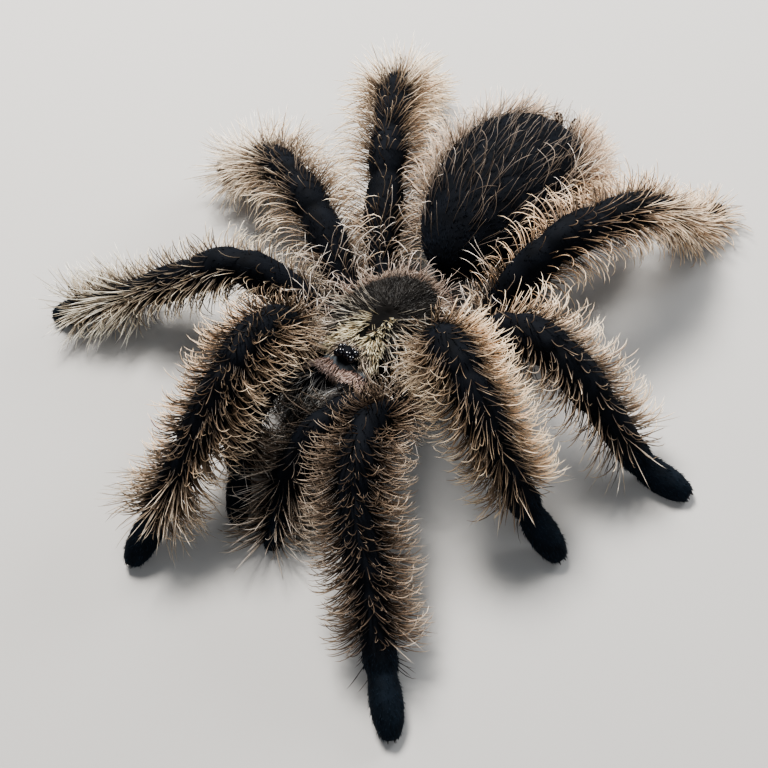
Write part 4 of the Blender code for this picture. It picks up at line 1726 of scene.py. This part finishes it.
@dataclass
class CarapaceCoat:
    """The carapace's coat: a golden mat that runs outwards from the pit, with a pale fringe round the rim."""

    form: CarapaceForm
    mat_locks: int = 2300
    mat_until: float = 0.97  # as a share of the dome's size
    rim_hairs: int = 190
    rim_ring: Range = (0.84, 0.99)
    rim_front: float = -8.0
    root_reach: float = 2.3
    parting: Range = (1.25, 0.8)  # how the mat's lie turns outwards before the pit
    groove_width: float = 0.62
    groove_sway: Range = (0.3, 1.25)
    groove_dark: Range = (0.92, 1.35)  # painted shade in the groove: how dark it is, and how wide in its half widths
    furrow_dark: Range = (0.6, 0.5)  # painted shade in a furrow: how dark it is, and how wide
    pit_oval: Range = (0.9, 0.45)
    eye_oval: Range = (2.15, 1.75)
    brow_oval: Range = (3.4, 3.0)
    brow_behind: float = 0.6  # the eyes' middle
    front: float = -12.1
    tongue: Range = (0.7, 0.47)  # the golden tongue's half width at the pit, and how it widens
    edge: float = 0.78
    gold_share: float = 0.85
    strand_share: float = 0.32
    short_from: float = 0.2

    def seats(self, coat: Coat, count: int, ring: Range) -> Seats:
        """Places scattered over the dome.

        Args:
            coat: The coat, for its chance.
            count: How many.
            ring: The least and the greatest share of the dome's size.

        Returns:
            The seats.
        """
        form, chance = self.form, coat.chance
        share = np.sqrt(chance.uniform(ring[0] ** 2, ring[1] ** 2, count))
        turns = chance.uniform(-math.pi, math.pi, count)
        y = form.middle + form.half_length * share * np.cos(turns)
        ahead = np.maximum(0.0, (form.middle - y) / form.half_length)
        x = form.half_width * share * np.sin(turns) * (1 - form.head_narrowing * ahead**2)
        level = np.sqrt(np.maximum(0.0, 1 - share**2))
        z = form.centre_height + form.half_height * level + form.head_rise * ahead * level
        points = np.stack((x, y, z), axis=1)
        slopes = (x / form.half_width**2, (y - form.middle) / form.half_length**2, level / form.half_height)
        normals = unit(np.stack(slopes, axis=1))
        away = points - np.array((form.pit[0], form.pit[1], 0.0))
        parted = away[:, 0] * self.parting[0] + np.sign(away[:, 0]) * self.parting[1]
        away[:, 0] = np.where(away[:, 1] < 0, parted, away[:, 0])
        away[:, 2] = 0.0
        lie = square(away, normals)
        places = (x / form.half_width / 2 + 0.5, (y - form.middle) / form.half_length / 2 + 0.5)
        # Each seat's tint carries the painted shade of the groove and the furrows.
        points, tint = from_head(points) + form.shift, self.tint(x, y)
        unwrap = np.clip(np.stack(places, axis=1), 0, 1)
        return Seats(points, from_head(normals), from_head(lie), unwrap, tint=tint)

    def across_groove(self, x: Array, y: Array) -> Array:
        """How far places lie from the groove before the pit, in its half widths there.

        Args:
            x: Across the head.
            y: Backwards.

        Returns:
            The distances.
        """
        ahead = self.form.pit[1] - y
        width = self.groove_width * np.clip(np.minimum(ahead * 1.6 + 0.9, (6.6 - ahead) / 2.2), 0.02, 1.0)
        return np.abs(x - self.groove_sway[0] * np.sin(y * self.groove_sway[1])) / width

    def tint(self, x: Array, y: Array) -> Array:
        """The painted shade that darkens the mat in the groove and the furrows.

        Args:
            x: Across the head.
            y: Backwards.

        Returns:
            What to multiply the tones by, as a colour for each place.
        """
        ahead = self.form.pit[1] - y
        dark, width = self.groove_dark
        tint = (1 - dark * bell(self.across_groove(x, y), width) * (ahead > -0.7))[:, None]
        turn = np.degrees(np.arctan2(np.abs(x), -ahead))
        away = np.hypot(x, ahead)
        dark, width = self.furrow_dark
        for furrow in self.form.furrow_turns:
            beside = away * np.radians(np.abs(turn - furrow))
            tint = tint * (1 - dark * np.clip(away / 3.0 - 0.2, 0, 1) * bell(beside, width))[:, None]
        return tint * np.ones(3)

    def grow(self, coat: Coat) -> None:
        """Grows the carapace's hair into a coat.

        Args:
            coat: The coat.
        """
        form, reach = self.form, self.root_reach
        seats = self.seats(coat, self.mat_locks, (0.0, self.mat_until))
        x, y, _ = to_head(seats.points - form.shift).T
        ahead = form.pit[1] - y
        groove = (self.across_groove(x, y) < 1) & (ahead > -0.5)
        groove = groove | in_oval(x, y, form.pit[1], self.pit_oval)
        eyes = in_oval(x, y, TUBERCLE_CENTRE[1], self.eye_oval)
        brow = in_oval(x, y, TUBERCLE_CENTRE[1] + self.brow_behind, self.brow_oval)
        free = ~groove & ~eyes & (y > self.front)
        tongue = free & (ahead > 0.1) & (np.abs(x) < self.tongue[0] + self.tongue[1] * ahead)
        outer = (x / form.half_width) ** 2 + ((y - form.middle) / form.half_length) ** 2
        edge = (outer > self.edge) & (ahead < 0)
        lot = coat.chance.uniform(0, 1, len(y))
        coat.grow(seats.chosen(tongue & ~brow & (lot < self.gold_share)), GOLD, reach)
        coat.grow(seats.chosen(tongue & brow), BROW, reach)
        coat.grow(seats.chosen(free & ~tongue & (ahead > -0.4) & (lot < self.strand_share)), STRANDS, reach)
        coat.grow(seats.chosen(free & ~tongue & ~edge & (lot > self.short_from)), SHORT, reach)
        coat.grow(seats.chosen(free & edge), HEM, reach)
        seats = self.seats(coat, self.rim_hairs, self.rim_ring)
        coat.grow(seats.chosen(to_head(seats.points - form.shift)[:, 1] > self.rim_front), RIM, reach)


@dataclass
class JawCoat:
    """The jaws' grey bristles and the pink band over them."""

    jaws: dict[Side, TaperedBar]
    shift: Array
    bristle_locks: int = 400
    bristle_reach: Range = (0.32, 0.97)  # as shares of a jaw
    band_locks: int = 360
    band_turns: Range = (-1.5, 2.3)  # about a jaw, from its inner to its outer side
    band_middle: Range = (2.95, 8.65)
    band_size: Range = (2.75, 2.7)
    band_inner_height: float = 10.5
    band_front: float = -12.9
    band_sweep: float = 2.3  # how far its outer side runs ahead
    band_reach: float = 2.0

    def grow(self, coat: Coat) -> None:
        """Grows the jaws' hair into a coat.

        Args:
            coat: The coat.
        """
        for jaw in self.jaws.values():
            self.grow_bristles(coat, jaw)
        for side in Side:
            self.grow_band(coat, side)

    def grow_bristles(self, coat: Coat, jaw: TaperedBar) -> None:
        """Grows the grey bristles of one jaw.

        Args:
            coat: The coat.
            jaw: The jaw.
        """
        length, count = jaw.line.length, self.bristle_locks
        distances = coat.chance.uniform(length * self.bristle_reach[0], length * self.bristle_reach[1], count)
        turns = coat.chance.uniform(-math.pi, math.pi, count)
        coat.grow(Seats(*jaw.skin(distances, turns), unwrapped(turns, distances / length)), BRISTLE)

    def grow_band(self, coat: Coat, side: Side) -> None:
        """Grows the pink band where one jaw leaves the head.

        Args:
            coat: The coat.
            side: The jaw's side.
        """
        chance, count = coat.chance, self.band_locks
        turns = chance.uniform(*self.band_turns, count)
        across = side.value * (self.band_middle[0] + self.band_size[0] * np.sin(turns))
        heights = self.band_middle[1] + self.band_size[1] * np.cos(turns) + chance.normal(0, 0.1, count)
        heights = np.where(turns < 0, np.maximum(heights, self.band_inner_height), heights)
        sweep = self.band_sweep * np.maximum(0.0, turns - 0.6)
        ahead = self.band_front - sweep + chance.normal(0, 0.35, count)
        points = from_head(np.stack((across, ahead, heights), axis=1)) + self.shift
        normals = unit(np.stack((side.value * np.sin(turns), np.full(count, -0.25), np.cos(turns)), axis=1))
        inwards = -side.value * (0.1 + 0.4 * np.maximum(0.0, turns))
        lie = np.stack((inwards, np.full(count, -1.0), np.full(count, -0.35)), axis=1)
        places = np.stack((across / 13 + 0.5, 0.9 + chance.uniform(0, 0.09, count)), axis=1)
        seats = Seats(points, from_head(normals), unit(from_head(lie)), places)
        coat.grow(seats, BAND, self.band_reach)


# ----- The whole animal -----


@dataclass
class Eyes:
    """The eight eyes, half sunk in their mound."""

    shift: Array
    places: tuple[Place, ...] = (  # each eye's radius, and how far out and ahead it is
        (0.68, 0.64, 0.66), (0.66, 1.32, 0.78), (0.58, 1.45, -0.34), (0.42, 0.84, -0.50),
    )
    mound: Place = (1.9, 1.45, 1.5)
    sink: float = 0.26
    rings: int = 16
    columns: int = 24

    def eye(self, side: Side, radius: float, across: float, forwards: float) -> bmesh.types.BMesh:
        """One eye.

        Args:
            side: The side that it is on.
            radius: Its radius.
            across: How far it is from the midline.
            forwards: How far it is before the mound's middle.

        Returns:
            A ball.
        """
        x, y = side.value * across, -forwards
        share = (x / self.mound[0]) ** 2 + (y / self.mound[1]) ** 2
        rise = self.mound[2] * math.sqrt(max(0.0, 1 - share))
        centre = from_head(TUBERCLE_CENTRE + np.array((x, y, rise - self.sink))) + self.shift
        return ball(self.rings, self.columns, centre, (radius, radius, radius))

    def dress(self) -> bpy.types.Object:
        """Makes the eyes and puts them in place of their solid.

        Returns:
            The piece.
        """
        balls = [self.eye(side, *place) for side in Side for place in self.places]
        piece = set_piece("eyes", in_metres(joined(balls, "eyes")), EYE_GLASS.material())
        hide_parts("eye_tubercle")
        return piece


@dataclass
class Fangs:
    """The two fangs, folded back under the jaws."""

    shift: Array
    line: tuple[Place, ...] = ((2.7, -21.1, 3.6), (2.7, -20.6, 2.4), (2.6, -19.1, 1.5), (2.5, -17.0, 1.2))
    girth: Stations = ((0.0, 0.72), (0.4, 0.55), (0.8, 0.32), (1.0, 0.1))
    spacing: float = 0.25
    sides: int = 16

    def dress(self) -> bpy.types.Object:
        """Makes the fangs and puts them in place of their solids.

        Returns:
            The piece.
        """
        bars = [head_bar(self.line, self.girth, side, self.shift) for side in Side]
        mesh = in_metres(joined([bar.solid(self.spacing, self.sides) for bar in bars], "fangs"))
        piece = set_piece("fangs", mesh, FANG_HORN.material())
        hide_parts("fang_left", "fang_right")
        return piece


@dataclass
class Claws:
    """Two small hooked claws at each toe."""

    limbs: list[LimbForm]
    girth: Stations = ((0.0, 0.16), (0.6, 0.11), (1.0, 0.03))
    inset: float = 0.1  # from the limb's end
    apart: float = 0.4
    above: float = 0.2
    flare: Place = (1, 1, 0.2)
    splay: float = 0.2
    lowest: float = 0.25
    spacing: float = 0.15
    sides: int = 8

    def claw(self, form: LimbForm, side: int) -> bmesh.types.BMesh:
        """One claw.

        Args:
            form: The limb that ends in it.
            side: +1 or -1, for the limb's two sides.

        Returns:
            A hook.
        """
        toe, along, across, back = (rows[0] for rows in form.frame(np.array([form.line.length - self.inset])))
        start = toe + across * side * self.apart + back * self.above
        ahead = unit(along * np.array(self.flare) + across * side * self.splay)
        joints = [start - ahead * 0.3, start + ahead * 0.3 + UP * 0.08, start + ahead * 0.55 - UP * 0.2]
        lift = max(0.0, self.lowest - min(joint[2] for joint in joints))
        line = CentreLine([joint + UP * lift for joint in joints])
        return TaperedBar(line, across, self.girth).solid(self.spacing, self.sides)

    def dress(self) -> bpy.types.Object:
        """Makes the claws, which have no solid of their own."""
        hooks = [self.claw(form, side) for form in self.limbs for side in (-1, 1)]
        return set_piece("claws", in_metres(joined(hooks, "claws")), CLAW_HORN.material())


@dataclass
class Tarantula:
    """The animal: its forms, and the one skin over them."""

    shift: Array
    jaw_line: tuple[Place, ...] = (
        (2.95, -11.6, 8.4), (2.95, -15.6, 9.0), (2.95, -18.4, 8.0), (2.85, -20.4, 5.6), (2.7, -21.0, 4.3),
    )
    jaw_girth: Stations = ((0.0, 2.1), (0.2, 2.35), (0.4, 2.55), (0.65, 2.4), (0.87, 1.9), (1.0, 1.2))
    spinneret_line: tuple[Place, ...] = (
        (1.2, 33.6, -2.6), (1.35, 37.0, -2.3), (1.45, 38.2, -1.2), (1.72, 38.55, -0.4), (2.05, 38.7, 0.55),
    )
    spinneret_girth: Stations = (
        (0.0, 0.85), (0.5, 0.88), (0.6, 0.74), (0.7, 0.84), (0.92, 0.86), (1.0, 0.74),
    )
    breast_centre: Place = (0.0, 0.0, 6.2)
    breast_size: Place = (5.0, 6.6, 3.3)
    mound_size: Place = (1.8, 1.35, 1.4)  # under the eyes
    clypeus_centre: Place = (0.0, -12.3, 10.2)
    clypeus_size: Place = (4.6, 1.5, 1.2)
    waist: Place = (4.0, 9.0, 14.0)  # its start, middle and end, backwards
    waist_height: float = 7.4
    waist_girth: Stations = ((0, 1.7), (0.5, 1.5), (1, 1.7))
    voxel: float = 0.455
    smoothings: int = 3
    chunk: int = 8000  # points of the skin that are coloured at once
    limb_reach: float = 4.2  # of a limb's tones from its line
    limb_stops: int = 160
    spinneret_reach: float = 1.1
    spinneret_stops: int = 12
    eye_oval: Range = (2.0, 1.55)

    def __post_init__(self) -> None:
        """Lays out the forms."""
        self.limbs = [LimbForm(limb, self.shift) for limb in LIMBS]
        for form in self.limbs:
            form.make_room(self.limbs)
        self.carapace = CarapaceForm(self.shift)
        self.abdomen = AbdomenForm(self.shift)
        self.jaws = {side: head_bar(self.jaw_line, self.jaw_girth, side, self.shift) for side in Side}
        self.spinnerets = [self.spinneret(side) for side in Side]

    def spinneret(self, side: Side) -> TaperedBar:
        """One spinneret, a blunt tube behind the abdomen's end."""
        joints = [self.abdomen.placed(np.array((side.value * x, y, z))) for x, y, z in self.spinneret_line]
        return TaperedBar(CentreLine(joints), ACROSS, self.spinneret_girth)

    def flesh(self) -> list[bmesh.types.BMesh]:
        """All the soft forms as closed shapes that pass into each other.

        Returns:
            The shapes.
        """
        shapes = [form.solid(0.7, 24) for form in self.limbs]
        shapes += [bar.solid(0.5, 20) for bar in (*self.jaws.values(), *self.spinnerets)]
        shapes += [self.carapace.solid(), self.abdomen.solid()]
        shapes.append(ball(16, 20, np.array(self.breast_centre) + self.shift, self.breast_size))
        shapes.append(set_on_head(ball(16, 20, TUBERCLE_CENTRE, self.mound_size), self.shift))
        shapes.append(set_on_head(ball(14, 20, np.array(self.clypeus_centre), self.clypeus_size), self.shift))
        waist = [np.array((0.0, y, self.waist_height)) + self.shift for y in self.waist]
        shapes.append(TaperedBar(CentreLine(waist), ACROSS, self.waist_girth).solid(0.6, 16))
        return shapes

    def skin_mesh(self) -> bpy.types.Mesh:
        """One continuous skin over every form.

        Returns:
            Its mesh, in metres.
        """
        rough = set_out("rough skin", joined(self.flesh(), "rough skin"))
        remesh = rough.modifiers.new("one skin", "REMESH")
        remesh.mode = "VOXEL"
        remesh.voxel_size = self.voxel
        depsgraph = bpy.context.evaluated_depsgraph_get()
        mesh = bpy.data.meshes.new_from_object(rough.evaluated_get(depsgraph))
        bpy.data.objects.remove(rough)
        soft = bmesh.new()
        soft.from_mesh(mesh)
        axes = {"use_axis_x": True, "use_axis_y": True, "use_axis_z": True}
        for _ in range(self.smoothings):
            bmesh.ops.smooth_vert(soft, verts=soft.verts, factor=0.5, **axes)
        for vert in soft.verts:
            vert.co.z = max(vert.co.z, 0.0)
        bmesh.ops.scale(soft, verts=soft.verts, vec=(MM, MM, MM))
        bmesh.ops.recalc_face_normals(soft, faces=soft.faces)
        soft.to_mesh(mesh)
        soft.free()
        mesh.name = "skin"
        return mesh

    def limb_tones(self, points: Array) -> Array:
        """Black, running into the feet's blue-black, which is partly their own colour and partly painted
        sheen.

        Args:
            points: Points on the skin.

        Returns:
            A colour for each.
        """
        tones = np.tile(np.array(BLUE_BLACK), (len(points), 1))
        for form in self.limbs:
            stops, nearest, gaps = form.line.gaps(points, self.limb_stops)
            segment, share = form.segment_at(stops[nearest])
            last = len(form.limb.segments) - 1
            foot = np.where(segment == last, 1.0, 0.0)
            foot = np.where(segment == last - 1, np.clip((share - 0.7) * 4, 0, 0.8), foot)
            mixed = tones + (np.array(FOOT_BLACK_AND_SHEEN) - tones) * foot[:, None]
            tones = np.where((gaps < self.limb_reach)[:, None], mixed, tones)
        return tones

    def tones(self, points: Array) -> Array:
        """The skin's colour at points, the same that the coat has there.

        Args:
            points: Points on the skin, in millimetres.

        Returns:
            A colour for each.
        """
        tones = self.limb_tones(points)
        for bar in self.spinnerets:
            close = bar.line.gaps(points, self.spinneret_stops, start=0.5)[2] < self.spinneret_reach
            tones = np.where(close[:, None], np.array(SPINNERET_BROWN), tones)
        x, y, z = to_head(points - self.shift).T
        form = self.carapace
        inside = (x / form.half_width) ** 2 + ((y - form.middle) / form.half_length) ** 2
        top = (inside < 1.05) & (z > form.rim_height - 0.1) & (z < 15)
        eyes = in_oval(x, y, TUBERCLE_CENTRE[1], self.eye_oval)
        # The carapace's skin gets the same painted shade in the groove and the furrows.
        mat = np.array(MAT_BLACK) * CarapaceCoat(form).tint(x, y)
        tones = np.where((top & ~eyes)[:, None], mat, tones)
        clypeus = (np.abs(x) < 4.2) & (y < -11.7) & (y > -13.6) & (z > 9.6)
        return np.where((clypeus & ~eyes)[:, None], np.array(SLATE), tones)

    def dress_skin(self) -> bpy.types.Object:
        """Makes the skin, gives it its tones and its finish and puts it in place of the solids.

        Returns:
            The piece.
        """
        mesh = self.skin_mesh()
        points = np.zeros(len(mesh.vertices) * 3)
        mesh.vertices.foreach_get("co", points)
        points = points.reshape(-1, 3) / MM
        starts = range(0, len(points), self.chunk)
        set_tones(mesh, np.concatenate([self.tones(points[start : start + self.chunk]) for start in starts]))
        piece = set_piece("skin", mesh, VelvetFinish().material())
        flesh = [node for form in self.limbs for node in form.limb.nodes]
        flesh += ["carapace", "sternum", "pedicel", "abdomen", "chelicera_left", "chelicera_right"]
        flesh += ["spinneret_left", "spinneret_right"]
        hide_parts(*flesh)
        return piece


@dataclass(frozen=True)
class Lamp:
    """A soft round light, turned to the animal."""

    name: str
    place: Place  # in metres
    size: float
    power: float
    colour: Colour

    def hang(self) -> None:
        """Hangs the light."""
        data = bpy.data.lights.new(self.name, "AREA")
        data.shape = "DISK"
        data.size = self.size
        data.energy = self.power
        data.color = self.colour
        lamp = set_out(self.name, data)
        lamp.location = self.place
        lamp.rotation_euler = (-Vector(self.place)).to_track_quat("-Z", "Y").to_euler()


@dataclass(frozen=True)
class Studio:
    """A plain pale floor, soft lights with deep shadows in the view, and the camera."""

    shift: Array
    azimuth: float = 50.2
    elevation: float = 50.63
    roll: float = -11.61
    distance: float = 263.6
    target: Place = (-19.05, 11.51, -32.77)
    lens: float = 63.34
    near: float = 0.01
    floor_size: float = 6.0
    floor_colour: Colour = (0.40, 0.39, 0.376)
    floor_roughness: float = 0.9
    lamps: tuple[Lamp, ...] = (
        Lamp("key", (-0.25, 0.16, 0.46), 0.20, 8.0, (1.0, 0.97, 0.93)),
        Lamp("fill", (0.42, -0.30, 0.32), 0.40, 1.2, (0.92, 0.96, 1.0)),
        Lamp("back", (0.12, 0.45, 0.22), 0.26, 2.2, (0.96, 0.98, 1.0)),
    )
    sky_colour: Colour = (0.86, 0.92, 1.0)
    sky_strength: float = 0.22
    contrast: str = "AgX - Medium High Contrast"

    def floor(self) -> None:
        """The floor, which isn't part of the animal."""
        slab = bmesh.new()
        bmesh.ops.create_grid(slab, x_segments=1, y_segments=1, size=self.floor_size / 2)
        recipe = Recipe("floor")
        recipe.shader.inputs["Base Color"].default_value = (*self.floor_colour, 1.0)
        recipe.shader.inputs["Roughness"].default_value = self.floor_roughness
        floor = set_out("floor", joined([slab], "floor"))
        floor.data.materials.append(recipe.material)

    def lights(self) -> None:
        """The key light from behind and to the left, a fill, a soft sky, and the view's contrast."""
        for lamp in self.lamps:
            lamp.hang()
        world = bpy.data.worlds.new("studio")
        bpy.context.scene.world = world
        world.use_nodes = True
        sky = world.node_tree.nodes["Background"]
        sky.inputs["Color"].default_value = (*self.sky_colour, 1.0)
        sky.inputs["Strength"].default_value = self.sky_strength
        bpy.context.scene.view_settings.look = self.contrast

    def camera(self) -> None:
        """The camera, looking down on the animal's left side from the front."""
        turn, rise, roll = (math.radians(value) for value in (self.azimuth, self.elevation, self.roll))
        back = Vector((math.sin(turn) * math.cos(rise), -math.cos(turn) * math.cos(rise), math.sin(rise)))
        right = (-back).cross(Vector((0, 0, 1))).normalized()
        top = right.cross(-back)
        tilted_right = right * math.cos(roll) + top * math.sin(roll)
        tilted_top = top * math.cos(roll) - right * math.sin(roll)
        data = bpy.data.cameras.new("camera")
        data.lens = self.lens
        data.clip_start = self.near
        camera = set_out("camera", data)
        pose = Matrix((tilted_right, tilted_top, back)).transposed().to_4x4()
        pose.translation = (Vector(self.target) + Vector(self.shift) + back * self.distance) * MM
        camera.matrix_world = pose
        bpy.context.scene.camera = camera


def grow_coats(tarantula: Tarantula, skin: Skin) -> None:
    """Grows every piece of the coat.

    Args:
        tarantula: The animal.
        skin: Its skin, as something for hair to root in.
    """
    hair = HairFinish().material()
    velvet = HairFinish("tarantula velvet", roughness=0.8, specular=0.06).material()
    for number, form in enumerate(tarantula.limbs):
        coat = Coat(f"coat_{form.limb.name}", skin, 100 + number)
        LimbCoat(form).grow(coat)
        coat.piece(hair, Slot.COAT)
    for side in Side:
        pile = Coat(f"velvet_limbs_{side.name.lower()}", skin, 150 + side.value)
        for form in tarantula.limbs:
            if form.limb.side is side:
                LimbCoat(form).grow_velvet(pile)
        pile.piece(velvet, Slot.FOOT)
    body = (
        ("coat_abdomen", 201, AbdomenCoat(tarantula.abdomen).grow, hair, Slot.COAT),
        ("velvet_abdomen", 204, AbdomenCoat(tarantula.abdomen).grow_velvet, velvet, Slot.COAT),
        ("coat_carapace", 202, CarapaceCoat(tarantula.carapace).grow, hair, Slot.CARAPACE),
        ("coat_jaws", 203, JawCoat(tarantula.jaws, tarantula.shift).grow, hair, Slot.COAT),
    )
    for name, seed, grow, finish, slot in body:
        coat = Coat(name, skin, seed)
        grow(coat)
        coat.piece(finish, slot)


def main() -> None:
    """Builds the tarantula on its frame, piece by piece."""
    logging.basicConfig(level=logging.INFO, format="%(message)s")
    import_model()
    shift = body_shift()
    studio = Studio(shift)
    studio.floor()
    studio.lights()
    studio.camera()

    tarantula = Tarantula(shift)
    skin = Skin(tarantula.dress_skin().data)
    Eyes(shift).dress()
    Fangs(shift).dress()
    Claws(tarantula.limbs).dress()
    grow_coats(tarantula, skin)


if __name__ == "__main__":
    main()
